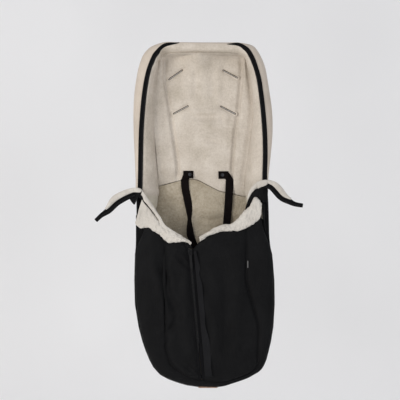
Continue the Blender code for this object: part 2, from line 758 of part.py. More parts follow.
# Harness slots
def obround(bm, centre, along, across, length, width, depth, segments=5):
    """A closed loop of points: a straight-sided slot with round ends."""
    verts = []
    for end in (1, -1):
        for k in range(segments + 1):
            angle = math.pi * (k / segments - 0.5)
            place = centre + along * end * ((length - width) / 2 + math.cos(angle) * width / 2)
            place += across * end * math.sin(angle) * width / 2
            verts.append(bm.verts.new(point(place.x, depth, place.y)))
    return verts


def slot_solid(name, centre, tilt, length, width, low, high, look):
    bm = bmesh.new()
    along = Vector((math.cos(tilt), math.sin(tilt)))
    across = Vector((-along.y, along.x))
    face = bm.faces.new(obround(bm, centre, along, across, length, width, low))
    grown = bmesh.ops.extrude_face_region(bm, geom=[face])
    for item in grown["geom"]:
        if isinstance(item, bmesh.types.BMVert):
            item.co.y = -high
    return add_object(name, bm, look)


for label, x_share, z_share, turn in SLOT_SHARES:
    centre = Vector((x_share * HALF_WIDTH, z_share * LENGTH))
    tilt = turn * math.pi / 2
    front = LINING_DEPTH + PUFF + FLEECE / 2
    hole_width = SLOT_WIDTH + 2 * (BINDING + GAP)
    hole_length = SLOT_LENGTH + 2 * (BINDING + GAP)
    cutter = slot_solid(
        "slot_cutter_" + label, centre, tilt, hole_length, hole_width, -PAD, front + PAD, filling
    )
    for pierced in (back_panel, back_wadding, back_lining):
        cut(pierced, cutter)
    inner = slot_solid(
        "slot_inner_" + label, centre, tilt, SLOT_LENGTH, SLOT_WIDTH, -PAD, front + PAD, filling
    )
    bound = slot_solid(
        "slot_binding_" + label,
        centre,
        tilt,
        SLOT_LENGTH + 2 * BINDING,
        SLOT_WIDTH + 2 * BINDING,
        BACK_DEPTH,
        front,
        cream_fleece,
    )
    cut(bound, inner)


# Side zips of the back section
def mirrored_path(side):
    """Stations of one side zip of the back section, from its end at the head down to the foot."""
    if side == "left":
        head = [s for s in HEAD if s.x < -0.3 * HALF_WIDTH][::-1]
        return head + HOOD_LEFT[::-1] + BODY_LEFT[-2::-1] + FOOT[:1]
    head = [s for s in HEAD if s.x > 0.3 * HALF_WIDTH]
    return head + HOOD_RIGHT[::-1] + BODY_RIGHT[-2::-1] + FOOT[:1:-1]


def tape_outer(station):
    sewn, edge, run, out = zip_frame(station)
    return [tuple(p + out * TAPE_THICK / 2) for p in (sewn, edge - run * COIL_WIDTH * 1.6, edge)]


def tape_inner(station):
    sewn, edge, run, out = zip_frame(station)
    return [tuple(p - out * TAPE_THICK / 2) for p in (sewn, edge - run * COIL_WIDTH * 1.6, edge)]


def toothed(name, frames, look, pitch=TOOTH_PITCH, toothed_until=None, reach=TOOTH_REACH):
    """Zip teeth swept along frames of (edge point, across, outward): each step is half a pitch."""
    places = [Vector(f[0]) for f in frames]
    lengths = [0.0]
    for a, b in zip(places, places[1:]):
        lengths.append(lengths[-1] + (b - a).length)
    total = lengths[-1]
    plain_from = total if toothed_until is None else toothed_until(lengths, frames)
    count = int(plain_from / (pitch / 2))
    marks = [k * pitch / 2 for k in range(count + 1)]
    marks += [length for length in lengths if length > marks[-1] + pitch / 2]
    front, back = [], []
    for k, mark in enumerate(marks):
        i = max(j for j in range(len(lengths) - 1) if lengths[j] <= mark + 1e-9)
        share = (mark - lengths[i]) / (lengths[i + 1] - lengths[i])
        edge = places[i].lerp(places[i + 1], share)
        across = frames[i][1].lerp(frames[i + 1][1], share).normalized()
        out = frames[i][2].lerp(frames[i + 1][2], share).normalized()
        tip = edge + across * (reach if k % 2 == 0 and mark < plain_from else 0.0)
        base = edge - across * COIL_WIDTH
        low = TAPE_THICK / 2 + GAP * 2
        front.append([base + out * (low + COIL_HEIGHT), tip + out * (low + COIL_HEIGHT)])
        back.append([base + out * low, tip + out * low])
    return slab(name, front, back, look, smooth=False)


def section_vector(station, pair):
    return Vector((station.inward.x * pair.x, -pair.y, station.inward.y * pair.x))


def back_coil_frames(path):
    frames = []
    for s in path:
        _, edge, run, out = zip_frame(s)
        place = s.at(edge.x, edge.y) - section_vector(s, run) * (TOOTH_REACH + GAP)
        frames.append((place, section_vector(s, run), section_vector(s, out)))
    return frames


ABOVE_SLIDER_SHARE = 0.94


def above_slider(lengths, frames):
    """How far along the path the zip is open."""
    lowest = point(0.0, 0.0, ZIP_TURN_SHARES[1] * LENGTH * ABOVE_SLIDER_SHARE).z
    return max(l for l, f in zip(lengths, frames) if f[0].z > lowest)


for side in ("left", "right"):
    path = mirrored_path(side)
    strip("hood_zip_tape_" + side, path, tape_outer, tape_inner, zip_cloth)
    toothed("hood_zip_coil_" + side, back_coil_frames(path), zip_teeth, SIDE_TOOTH_PITCH, above_slider)


# Front cover
COVER_LAYERS = {
    "shell": (0.0, CLOTH),
    "wadding": (CLOTH + GAP, CLOTH + GAP + COVER_PAD),
    "lining": (CLOTH + 2 * GAP + COVER_PAD, CLOTH + 2 * GAP + COVER_PAD + FLEECE),
}
COVER_THICK = COVER_LAYERS["lining"][1]
LAYER_LOOKS = {"shell": black_cloth, "wadding": filling, "lining": cream_fleece}
RING_TURN_SHARES = ZIP_TURN_SHARES
OPEN_EDGE_INSETS = {"left": 0.0275, "right": 0.020}
OPEN_EDGE_ROLL = 0.0058
RING_TOP_SHARES = {"left": 0.564, "right": 0.532}
NECK_BOW = 0.012
RING_BOW_SHARES = {"left": (0.43, 0.564), "right": (0.45, 0.532)}


def cover_depth(x, z):
    """Depth of the cover's front face."""
    across = min(1.0, abs(x) / HALF_WIDTH)
    low = max(0.0, 1.0 - z / FOOT_FALL_HEIGHT)
    return blend(COVER_MID_DEPTH, COVER_EDGE_DEPTH, across ** 2.4) - COVER_EDGE_FALL * low * low


def centre_x(z):
    """Place of the centre zip at a height."""
    (top_x, top_z), (foot_x, foot_z) = CENTRE_ZIP_TOP_SHARE, CENTRE_ZIP_FOOT_SHARE
    share = (z / LENGTH - foot_z) / (top_z - foot_z)
    return blend(foot_x, top_x, share) * HALF_WIDTH


def seam_place(station, extra=0.0):
    """Place of the U seam at a station, moved inward by a little extra."""
    start = Vector((station.x, station.z))
    if station.side == "foot":
        inset = SEAM_FOOT_SHARES[FOOT.index(station)] * HALF_WIDTH
        return start + station.inward * (inset + extra)
    table = SEAM_LEFT_SHARES if station.side == "left" else SEAM_RIGHT_SHARES
    low, high = LEFT_SEAM_DROP_SHARES if station.side == "left" else RIGHT_SEAM_DROP_SHARES
    end = start + station.inward * look_up(table, station.height) * HALF_WIDTH
    if station.height > low:
        top = RING_TOP_SHARES[station.side]
        end.y = blend(low, high, (station.height - low) / (top - low)) * LENGTH
    return end + (end - start).normalized() * extra


def ring_start(station):
    """(inset, depth) of the outer edge of the cover, at the side zip."""
    turn = 0.0 if station.side == "foot" else ease(*RING_TURN_SHARES, station.height)
    closed = SIDE_ZIP_DEPTH + 2 * SIDE_TAPE_WIDTH + ZIP_MESH_GAP + 2 * GAP
    if turn == 0.0:
        return SIDE_ZIP_INSET, closed, turn
    return blend(SIDE_ZIP_INSET, OPEN_EDGE_INSETS[station.side], turn), closed, turn


ARC_SHARES = (0.0, 0.34, 0.67, 1.0)
FLAT_SHARES = (0.5, 1.0)


def ring_line(station, depth_in, drop):
    """A line of the cover's outer panel, from the side zip round the corner to the U seam."""
    start = Vector((station.x, station.z))
    seam = seam_place(station)
    width = (seam - start).length
    run = (seam - start).normalized()
    edge_inset, edge_depth, turn = ring_start(station)
    room = width - edge_inset
    step = depth_in * min(1.0, 0.70 * room / COVER_THICK)
    radius_share = min(0.72, COVER_CORNER_RADIUS / room)
    arc_start = edge_inset + step
    radius = (width - arc_start) * radius_share
    rise = 0.0 if station.side == "foot" else ease(*RING_BOW_SHARES[station.side], station.height)

    def place_at(inset):
        spot = start + run * inset
        spot.y -= NECK_BOW * rise * math.sin(math.pi * inset / width)
        return spot

    corner = place_at(arc_start)
    open_depth = cover_depth(corner.x, corner.y) - depth_in - OPEN_EDGE_ROLL
    edge_depth = blend(edge_depth - drop, open_depth, turn)
    line = []
    for share in ARC_SHARES:
        angle = share * math.pi / 2
        place = place_at(arc_start + radius * (1.0 - math.cos(angle)))
        front = cover_depth(place.x, place.y) - depth_in
        line.append(point(place.x, blend(edge_depth, front, math.sin(angle)), place.y))
    for share in FLAT_SHARES:
        place = place_at(blend(arc_start + radius, width, share))
        line.append(point(place.x, cover_depth(place.x, place.y) - depth_in, place.y))
    return line


RING_PATH = [s for s in BODY_PATH if s.side == "foot" or s.height <= RING_TOP_SHARES[s.side] + 0.0001]
SIDE_TAPE_DROP = SIDE_TAPE_WIDTH
for layer, (outer, inner) in COVER_LAYERS.items():
    drop = 0.0 if layer == "shell" else SIDE_TAPE_DROP
    slab(
        "surround_" + layer,
        [ring_line(s, outer, drop) for s in RING_PATH],
        [ring_line(s, inner, drop) for s in RING_PATH],
        LAYER_LOOKS[layer],
    )

# Side zips of the cover
COVER_ZIP_TOP_SHARE = 0.430


def cover_zip_path(side):
    levels = BODY_LEFT if side == "left" else BODY_RIGHT
    path = [s for s in levels if s.height <= COVER_ZIP_TOP_SHARE][::-1]
    return path + (FOOT[:1] if side == "left" else FOOT[:1:-1])


def cover_tape_line(depth_in):
    def line(station):
        _, edge, _, _ = zip_frame(station)
        inset, depth, _ = ring_start(station)
        low = edge.y + ZIP_MESH_GAP
        inset = edge.x - TAPE_THICK / 2 + depth_in
        return [(inset, depth - GAP), (inset, low)]
    return line


for side in ("left", "right"):
    path = cover_zip_path(side)
    strip("cover_zip_tape_" + side, path, cover_tape_line(0.0), cover_tape_line(TAPE_THICK), zip_cloth)
    frames = []
    for s in path:
        _, edge, _, _ = zip_frame(s)
        place = s.at(edge.x, edge.y + ZIP_MESH_GAP + COIL_WIDTH)
        frames.append((place, section_vector(s, Vector((0.0, 1.0))), section_vector(s, Vector((-1.0, 0.0)))))
    toothed("cover_zip_coil_" + side, frames, zip_teeth, toothed_until=lambda lengths, frames: 0.0)


# Cover halves
def half_rows(side):
    """Seam places of a cover half, from the foot up to the neckline."""
    levels = BODY_LEFT if side == "left" else BODY_RIGHT
    return [seam_place(s, SEAM_GAP) for s in levels if s.height <= RING_TOP_SHARES[side] + 0.0001]


foot_run = [BODY_LEFT[0]] + FOOT + [BODY_RIGHT[0]]
FOOT_SEAM = sorted((p.x, p.y) for p in [seam_place(s, SEAM_GAP) for s in foot_run])


def neck_height(side, x):
    table = LEFT_NECK_SHARES if side == "left" else RIGHT_NECK_SHARES
    return look_up(sorted(table), x / HALF_WIDTH) * LENGTH


def half_grid(side, depth_in, centre_gap):
    """Rows of a cover half: level up to the notch, then drawn toward the neckline."""
    toward = -1.0 if side == "left" else 1.0
    places = [
        p for p in half_rows(side) if (centre_x(p.y) + toward * centre_gap - p.x) * toward < -CUFF_THICK
    ]
    level_top = max(p.y for p in places if p.y < NECK_START_SHARE * LENGTH)
    grid = []
    for place in places:
        z = min(place.y, level_top)
        rise = (place.y - z) / (places[-1].y - level_top)
        row = []
        for share in HALF_COLUMN_SHARES:
            notch = centre_x(blend(z, ZIP_TOP, rise)) + toward * centre_gap
            x = blend(place.x, notch, share)
            height = look_up(FOOT_SEAM, x) if not grid else blend(z, neck_height(side, x), rise)
            if share == 0.0:
                height = place.y
            row.append(point(x, cover_depth(x, height) - depth_in, height))
        grid.append(row)
    return grid


NECK_START_SHARE = 0.39
ZIP_TOP = CENTRE_ZIP_TOP_SHARE[1] * LENGTH
HALF_COLUMN_SHARES = (0.0, 0.13, 0.284, 0.52, 0.76, 1.0)
CENTRE_EDGES = {"shell": CENTRE_SHELL_EDGE, "wadding": CENTRE_PAD_EDGE, "lining": CENTRE_LINING_EDGE}
for side in ("left", "right"):
    for layer, (outer, inner) in COVER_LAYERS.items():
        slab(
            "cover_" + layer + "_" + side,
            half_grid(side, outer, CENTRE_EDGES[layer]),
            half_grid(side, inner, CENTRE_EDGES[layer]),
            LAYER_LOOKS[layer],
        )


# Centre zip
def height_marks(low, high, step):
    count = max(2, round((high - low) / step))
    return [blend(low, high, k / count) for k in range(count + 1)]


ZIP_LINE = Vector(
    (
        (CENTRE_ZIP_TOP_SHARE[0] - CENTRE_ZIP_FOOT_SHARE[0]) * HALF_WIDTH,
        (CENTRE_ZIP_TOP_SHARE[1] - CENTRE_ZIP_FOOT_SHARE[1]) * LENGTH,
    )
).normalized()
ZIP_UP = Vector((ZIP_LINE.x, 0.0, ZIP_LINE.y))
ZIP_ACROSS = Vector((ZIP_LINE.y, 0.0, -ZIP_LINE.x))
OUT = Vector((0.0, -1.0, 0.0))
RIGHT = Vector((1.0, 0.0, 0.0))
UP = Vector((0.0, 0.0, 1.0))
ZIP_STOP = CENTRE_ZIP_STOP_SHARE * LENGTH
TAPE_FRONT = CLOTH + GAP
SLIDER_REST = ZIP_TOP - SLIDER_LENGTH * 0.6
tops = {"left": ZIP_TOP - 2 * GAP, "right": SLIDER_REST - SLIDER_LENGTH * 0.6}
stops = {"left": ZIP_STOP, "right": ZIP_STOP + SLIDER_LENGTH * 1.4}
for side, toward in (("left", -1.0), ("right", 1.0)):
    foot = CENTRE_ZIP_FOOT_SHARE[1] * LENGTH
    rows = height_marks(foot, tops[side], SLIDER_LENGTH * 1.2)
    sheets = []
    for layer in (TAPE_FRONT, TAPE_FRONT + TAPE_THICK):
        grid = []
        for z in rows:
            row = []
            for reach in (CENTRE_TAPE_REACH, CENTRE_TAPE_REACH / 2, TOOTH_REACH + GAP):
                x = centre_x(z) + toward * reach
                row.append(point(x, cover_depth(x, z) - layer, z))
            grid.append(row)
        sheets.append(grid)
    slab("centre_zip_tape_" + side, sheets[0], sheets[1], zip_cloth)
    marks = height_marks(stops[side], tops[side], TOOTH_PITCH / 2)
    frames = []
    for k in range(len(marks)):
        z = ZIP_STOP + k * TOOTH_PITCH / 2 + (stops[side] - ZIP_STOP)
        if z > tops[side]:
            break
        phase = round((z - ZIP_STOP) / (TOOTH_PITCH / 2))
        z = ZIP_STOP + phase * TOOTH_PITCH / 2
        wave = TOOTH_REACH * (0.5 if phase % 2 else -0.5)
        edge = centre_x(z) + wave + toward * ZIP_MESH_GAP / 2
        base = centre_x(z) + toward * (ZIP_MESH_GAP / 2 + TOOTH_REACH / 2 + COIL_WIDTH)
        frames.append((z, edge, base))
    front, back = [], []
    for z, edge, base in frames:
        low = cover_depth(centre_x(z), z) - TAPE_FRONT + GAP
        front.append([point(base, low + COIL_HEIGHT, z), point(edge, low + COIL_HEIGHT, z)])
        back.append([point(base, low, z), point(edge, low, z)])
    slab("centre_zip_coil_" + side, front, back, zip_teeth, smooth=False)


# Cuffs
def cuff(name, table, look, hooks=()):
    """A sherpa band that hangs over the cover's front, rolls over its top edge and turns inside."""
    outer, inner = [], []
    for i, (upper_x, upper_z, lower_x, lower_z) in enumerate(table):
        hook = hooks[i] if i < len(hooks) else 1.0
        upper = Vector((upper_x * HALF_WIDTH, upper_z * LENGTH))
        lower = Vector((lower_x * HALF_WIDTH, lower_z * LENGTH))
        down = (lower - upper).normalized()
        width = (lower - upper).length
        fat = CUFF_THICK

        def place(along, off):
            spot = upper + down * along
            return point(spot.x, cover_depth(spot.x, spot.y) + off, spot.y)

        inside = -COVER_THICK * hook - SEAM_GAP
        edge = -COVER_THICK * 0.45 * hook
        outer.append(
            [
                place(width, SEAM_GAP * 2), place(width - fat * 0.25, fat * 0.62), place(width * 0.6, fat),
                place(fat * 0.62, fat * 0.9), place(fat * 0.10, fat * 0.4), place(0.0, edge),
                place(fat * 0.2, inside - FLEECE * 0.8), place(CUFF_TURN, inside - FLEECE),
            ]
        )
        rise = CUFF_RISE * 0.72
        inner.append(
            [
                place(width - fat * 0.08, SEAM_GAP), place(width * 0.75, SEAM_GAP),
                place(width * 0.5, SEAM_GAP), place(rise + FLEECE * 0.5, SEAM_GAP),
                place(rise, SEAM_GAP * 0.9),
                place(rise * 0.9, edge), place(rise, inside), place(CUFF_TURN * 0.95, inside),
            ]
        )
    return slab(name, outer, inner, look)


cuff("cuff_end_left", LEFT_END_CUFF_SHARES, white_sherpa, (0.15, 0.6))
cuff("cuff_left", LEFT_CUFF_SHARES, white_sherpa)
cuff("cuff_right", RIGHT_CUFF_SHARES, white_sherpa)
cuff("cuff_end_right", RIGHT_END_CUFF_SHARES, white_sherpa)


# Storm flap
FLAP_LIFT = 0.0006
FLAP_WAVE = 0.0016
FLAP_COLUMN_SHARES = (0.0, 0.4, 0.75, 1.0)
FLAP_HINGE_LIFT = 0.0026


def flap_grid(lift):
    low, high = (share * LENGTH for share in (FLAP_SHARES[0][0], FLAP_SHARES[-1][0]))
    grid = []
    for k, z in enumerate(height_marks(low, high, SLIDER_LENGTH)):
        root = centre_x(z) + FLAP_ROOT_INSET
        free = centre_x(z) + look_up(FLAP_SHARES, z / LENGTH) * HALF_WIDTH
        wave = FLAP_WAVE * (1.0 + math.sin(k * 1.3)) / 2
        row = []
        for share in FLAP_COLUMN_SHARES:
            x = blend(root, free, share)
            row.append(point(x, cover_depth(x, z) + lift + wave * share * share, z))
        grid.append(row)
    return grid


slab("storm_flap", flap_grid(FLAP_LIFT + FLAP_THICK), flap_grid(FLAP_LIFT), black_cloth)


# Sliders and pullers
SADDLE_SHARES = ((-0.5, 0.94, 0.55), (-0.3, 1.0, 1.0), (0.0, 0.94, 1.0), (0.3, 1.0, 1.0), (0.5, 0.96, 0.55))
SADDLE_FOOT = 0.0004
BAR_LIFT = 0.0012
HOLE_WIDTH = 0.0036
HOLE_LENGTH = 0.0075
PULLER_SHARES = (
    (-0.5, 0.0), (-0.5, -0.72), (-0.40, -0.90), (-0.24, -1.0), (0.24, -1.0), (0.40, -0.90), (0.5, -0.72),
    (0.5, 0.0),
)


class Spot:
    """A place on a zip with its directions across, along and out of it."""

    def __init__(self, place, across, up, out):
        self.place, self.across, self.up, self.out = place, across, up, out

    def at(self, a, t, h):
        return self.place + self.across * a + self.up * t + self.out * h


def prism(name, outline, spot, low, high, look):
    """An outline of (across, along) points, extruded outward between two heights."""
    bm = bmesh.new()
    face = bm.faces.new([bm.verts.new(spot.at(a, t, low)) for a, t in outline])
    grown = bmesh.ops.extrude_face_region(bm, geom=[face])
    for item in grown["geom"]:
        if isinstance(item, bmesh.types.BMVert):
            item.co += spot.out * (high - low)
    return add_object(name, bm, look, smooth=False)


def cut_corners(width, height, corner):
    """A rectangle about the origin with its four corners cut off, as (across, along) points."""
    a, t = width / 2, height / 2
    return [
        (-a, t - corner), (-a, corner - t), (corner - a, -t), (a - corner, -t),
        (a, corner - t), (a, t - corner), (a - corner, t), (corner - a, t),
    ]


def rod(name, start, end, radius, look, segments=12):
    """A round bar between two points."""
    bm = bmesh.new()
    axis = (end - start).normalized()
    side = axis.orthogonal().normalized()
    other = axis.cross(side)
    turns = [2 * math.pi * k / segments for k in range(segments)]
    ring = [bm.verts.new(start + (side * math.cos(t) + other * math.sin(t)) * radius) for t in turns]
    face = bm.faces.new(ring)
    grown = bmesh.ops.extrude_face_region(bm, geom=[face])
    for item in grown["geom"]:
        if isinstance(item, bmesh.types.BMVert):
            item.co += end - start
    return add_object(name, bm, look)


def zip_slider(name, spot, left, right, foot, top):
    """An inverted saddle over the teeth, with a bail on top.

    Left, right, foot and top are its inner faces.
    """
    middle, half = (left + right) / 2, (right - left) / 2
    outer_half, outer_top = half + SLIDER_WALL, top + SLIDER_WALL
    outer, inner = [], []
    for t_share, wide, crown in SADDLE_SHARES:
        t = t_share * SLIDER_LENGTH
        reach = max(outer_half * wide, half + SLIDER_WALL / 2)
        high = top + SLIDER_WALL * crown
        outside = ((-reach, foot), (-reach, high), (reach, high), (reach, foot))
        inside = ((-half, foot), (-half, top), (half, top), (half, foot))
        outer.append([spot.at(middle + a, t, h) for a, h in outside])
        inner.append([spot.at(middle + a, t, h) for a, h in inside])
    saddle = slab(name, outer, inner, dark_metal, smooth=False)
    long, root, crest = BAIL_LENGTH / 2, outer_top - SLIDER_WALL / 3, outer_top + BAIL_HEIGHT
    bar = SLIDER_WALL * 0.9
    arch = ((-long, root), (-long * 0.78, crest), (long * 0.78, crest), (long, root))
    hollow = (
        (-long + bar, root), (-long * 0.78 + bar * 0.7, crest - bar), (long * 0.78 - bar * 0.7, crest - bar),
        (long - bar, root),
    )
    sides = (-BAIL_BAR / 2, BAIL_BAR / 2)
    front = [[spot.at(middle + a, t, h) for t, h in arch] for a in sides]
    back = [[spot.at(middle + a, t, h) for t, h in hollow] for a in sides]
    join(saddle, slab("bail_" + name, front, back, dark_metal, smooth=False))
    return Spot(spot.at(middle, 0.0, outer_top + BAR_LIFT), spot.across, spot.up, spot.out)


def zip_puller(name, bar_spot, length):
    """A flat puller hanging from a round bar under the bail."""
    half = PULLER_THICK / 2
    shoulder = PULLER_BAR_RADIUS
    outline = [(a * PULLER_WIDTH, t * length if t else shoulder) for a, t in PULLER_SHARES]
    plate = prism(name, outline, bar_spot, -half, half, dark_metal)
    hole = [
        (-HOLE_WIDTH / 2, PULLER_WIDTH), (-HOLE_WIDTH / 2, -HOLE_LENGTH), (HOLE_WIDTH / 2, -HOLE_LENGTH),
        (HOLE_WIDTH / 2, PULLER_WIDTH),
    ]
    cut(plate, prism("hole_" + name, hole, bar_spot, -PULLER_WIDTH, PULLER_WIDTH, dark_metal))
    reach = PULLER_WIDTH / 2 - PULLER_BAR_RADIUS / 2
    ends = (bar_spot.at(-reach, 0.0, 0.0), bar_spot.at(reach, 0.0, 0.0))
    join(plate, rod("bar_" + name, ends[0], ends[1], PULLER_BAR_RADIUS, dark_metal))


# Centre slider, over both rows of teeth
SADDLE_HALF = 0.0045
z = SLIDER_REST
centre_spot = Spot(point(centre_x(z), cover_depth(centre_x(z), z) - TAPE_FRONT, z), ZIP_ACROSS, ZIP_UP, OUT)
centre_bar = zip_slider(
    "centre_slider", centre_spot, -SADDLE_HALF, SADDLE_HALF, 2 * SADDLE_FOOT, GAP + COIL_HEIGHT + SLIDER_PLAY
)
zip_puller("centre_puller", centre_bar, CENTRE_PULLER_LENGTH)

# Side sliders, over the back section's row of teeth
SIDE_SLIDER_SHARE = 0.5235
SIDE_SADDLE = (-0.0046, 0.0022)
side_spots, side_bars = {}, {}
for side, table, sign in (("left", LEFT_ZIP_SHARES, 1.0), ("right", RIGHT_ZIP_SHARES, -1.0)):
    (low, first), (high, last) = table
    ends = [Vector((share * HALF_WIDTH, 0.0, height * LENGTH)) for height, share in table]
    up = (ends[1] - ends[0]).normalized()
    across = Vector((up.z, 0.0, -up.x)) * sign
    z = SIDE_SLIDER_SHARE * LENGTH
    middle = blend(first, last, (SIDE_SLIDER_SHARE - low) / (high - low)) * HALF_WIDTH
    place = point(middle, RIM_DEPTH + TAPE_THICK / 2, z) + across * (TAPE_WIDTH / 2)
    side_spots[side] = Spot(place, across, up, OUT)
    side_bars[side] = zip_slider(
        "side_slider_" + side, side_spots[side], *SIDE_SADDLE, SADDLE_FOOT,
        2 * GAP + COIL_HEIGHT + SLIDER_PLAY,
    )
    zip_puller("side_puller_" + side, side_bars[side], SIDE_PULLER_LENGTH)


# Wings: the cover's unzipped top corners
WING_FLEECE_THICK = 0.0035
WING_CAP_SHARES = ((-0.97, 0.25), (-0.7, 0.71), (-0.35, 0.935))


def wing_rows(shares, count):
    """(middle, direction, half width) from the round root to the tip."""
    places = smooth_line([(x * HALF_WIDTH, z * LENGTH) for x, z, _ in shares], 3)
    halves = [h for h, _ in smooth_line([(h * HALF_WIDTH, 0.0) for _, _, h in shares], 3)]
    line = [Vector(p) for p in places]
    lengths = [0.0]
    for a, b in zip(line, line[1:]):
        lengths.append(lengths[-1] + (b - a).length)
    start = (line[1] - line[0]).normalized()
    root = halves[0]
    rows = [(line[0] + start * root * back, start, root * wide) for back, wide in WING_CAP_SHARES]
    for k in range(count + 1):
        goal = lengths[-1] * k / count
        i = max(j for j in range(len(lengths) - 1) if lengths[j] <= goal + GAP / 10)
        share = min(1.0, (goal - lengths[i]) / (lengths[i + 1] - lengths[i]))
        run = (line[i + 1] - line[i]).normalized()
        rows.append((line[i].lerp(line[i + 1], share), run, blend(halves[i], halves[i + 1], share)))
    return rows


def wing_sheet(name, rows, columns, low, high, look, smooth=True):
    """A flat piece of a wing: columns give the places across each row, as distances from its lower edge."""
    front, back = [], []
    for k, (middle, run, half) in enumerate(rows):
        down = Vector((run.y, -run.x))
        down = down if down.y < 0.0 else -down
        spots = [middle + down * (half - reach) for reach in columns(k, half)]
        lifts = high if isinstance(high, tuple) else (high,) * len(spots)
        front.append([point(p.x, WING_PLANE + lift, p.y) for p, lift in zip(spots, lifts)])
        back.append([point(p.x, WING_PLANE + low, p.y) for p in spots])
    return slab(name, front, back, look, smooth)


for side, shares in (("left", LEFT_WING_SHARES), ("right", RIGHT_WING_SHARES)):
    caps = len(WING_CAP_SHARES)
    plain = wing_rows(shares, 8)
    wing_sheet(
        "wing_shell_" + side, plain, lambda k, half: (0.0, half, 2 * half), 0.0, WING_THICK, black_cloth,
    )
    pad = [row for row in plain[caps - 1:] if row is plain[caps - 1] or plain.index(row) < 8]
    wing_sheet(
        "wing_fleece_" + side,
        pad,
        lambda k, half: (WING_BAND + 3 * GAP, blend(WING_BAND, 2 * half - CLOTH, 0.5), 2 * half - CLOTH),
        WING_THICK + GAP,
        (WING_THICK + GAP + CLOTH, WING_THICK + GAP + WING_FLEECE_THICK, WING_THICK + GAP + CLOTH),
        white_sherpa,
    )
    fine = wing_rows(shares, 18)[caps:]
    wing_sheet(
        "wing_zip_" + side,
        fine,
        lambda k, half: (
            TOOTH_REACH * (k % 2) + GAP, COIL_WIDTH + TOOTH_REACH, COIL_WIDTH + 2 * TOOTH_REACH, WING_BAND,
        ),
        WING_THICK + GAP,
        (
            WING_THICK + GAP + TAPE_THICK + COIL_HEIGHT, WING_THICK + GAP + TAPE_THICK + COIL_HEIGHT,
            WING_THICK + GAP + TAPE_THICK, WING_THICK + GAP + TAPE_THICK,
        ),
        zip_teeth,
        smooth=False,
    )


# Straps, tabs and studs
STRAP_HALF = 0.011
TAB_LIFT = 0.0054
TAB_THICK = 0.0024
STRAP_DEPTHS = {
    "left": (0.0262, 0.0302, 0.0346, 0.0395, 0.0440, 0.0465, 0.0450, 0.0420),
    "right": (0.0280, 0.0302, 0.0330, 0.0360, 0.0385, 0.0400, 0.0405, 0.0405),
}


def strap(name, shares, strap_depths):
    line = smooth_line([(x * HALF_WIDTH, z * LENGTH) for x, z, _, _ in shares], 2)
    depths = [d for d, _ in smooth_line([(d, 0.0) for d in strap_depths], 2)]
    turns = [t for t, _ in smooth_line([(t, 0.0) for _, _, _, t in shares], 2)]
    front, back = [], []
    for (x, z), depth, turn in zip(line, depths, turns):
        angle = turn * math.pi / 2
        across = Vector((math.cos(angle), math.sin(angle), 0.0))
        through = Vector((math.sin(angle), -math.cos(angle), 0.0))
        middle = point(x, depth, z)
        for rows, off in ((front, STRAP_THICK / 2), (back, -STRAP_THICK / 2)):
            rows.append([middle + across * a * STRAP_HALF + through * off for a in (-1.0, 0.0, 1.0)])
    return slab(name, front, back, webbing)


strap("strap_left", LEFT_STRAP_SHARES, STRAP_DEPTHS["left"])
strap("strap_right", RIGHT_STRAP_SHARES, STRAP_DEPTHS["right"])
for side in ("left", "right"):
    x, z = (share * size for share, size in zip(TAB_SHARES[side], (HALF_WIDTH, LENGTH)))
    low = LINING_DEPTH + TAB_LIFT
    prism(
        "strap_tab_" + side,
        cut_corners(TAB_WIDTH, TAB_HEIGHT, TAB_THICK / 2),
        Spot(point(x, low, z), RIGHT, UP, OUT),
        0.0,
        TAB_THICK,
        webbing,
    )
    x, z = (share * size for share, size in zip(SNAP_SHARES[side], (HALF_WIDTH, LENGTH)))
    start = point(x, low + TAB_THICK + GAP, z)
    cap = rod("snap_cap_" + side, start, start + OUT * SNAP_HEIGHT, SNAP_RADIUS, dark_metal, segments=16)
    rim = cap.modifiers.new("rim", "BEVEL")
    rim.width = SNAP_HEIGHT / 4
    rim.segments = 1
    rim.limit_method = "ANGLE"


# Leather tab at the foot and small tab in the right seam
FOOT_TAB_X_SHARE = 0.057
FOOT_TAB_DEPTH = 0.041
FOOT_TAB_THICK = 0.006
FOOT_TAB_HEIGHT = 0.005
FOOT_TAB_RAISE = 0.0004
prism(
    "foot_tab",
    cut_corners(FOOT_TAB_THICK, FOOT_TAB_HEIGHT, FOOT_TAB_HEIGHT / 5),
    Spot(
        point(FOOT_TAB_X_SHARE * HALF_WIDTH, FOOT_TAB_DEPTH, -FOOT_TAB_HEIGHT / 2 + FOOT_TAB_RAISE),
        OUT,
        UP,
        RIGHT,
    ),
    -FOOT_TAB_WIDTH / 2,
    FOOT_TAB_WIDTH / 2,
    tan_leather,
)
SEAM_TAB_THICK = 0.001
SEAM_TAB_X_SHARES = (0.598, 0.634)
SEAM_TAB_Z_SHARES = (0.349, 0.369)
sheets = []
for lift in (GAP + SEAM_TAB_THICK, GAP):
    grid = []
    for z_share in SEAM_TAB_Z_SHARES:
        row = []
        for x_share in SEAM_TAB_X_SHARES:
            x, z = x_share * HALF_WIDTH, z_share * LENGTH
            row.append(point(x, cover_depth(x, z) + lift, z))
        grid.append(row)
    sheets.append(grid)
slab("seam_tab", sheets[0], sheets[1], bare_tab, smooth=False)


# Moving pieces: an empty on each joint axis carries its group
def pivot(name, place, members, parent=None):
    empty = bpy.data.objects.new(name, None)
    empty.location = place
    bpy.context.scene.collection.objects.link(empty)
    for member in members:
        obj = bpy.data.objects[member]
        obj.parent = empty
        obj.matrix_parent_inverse.translation = -place
    return empty


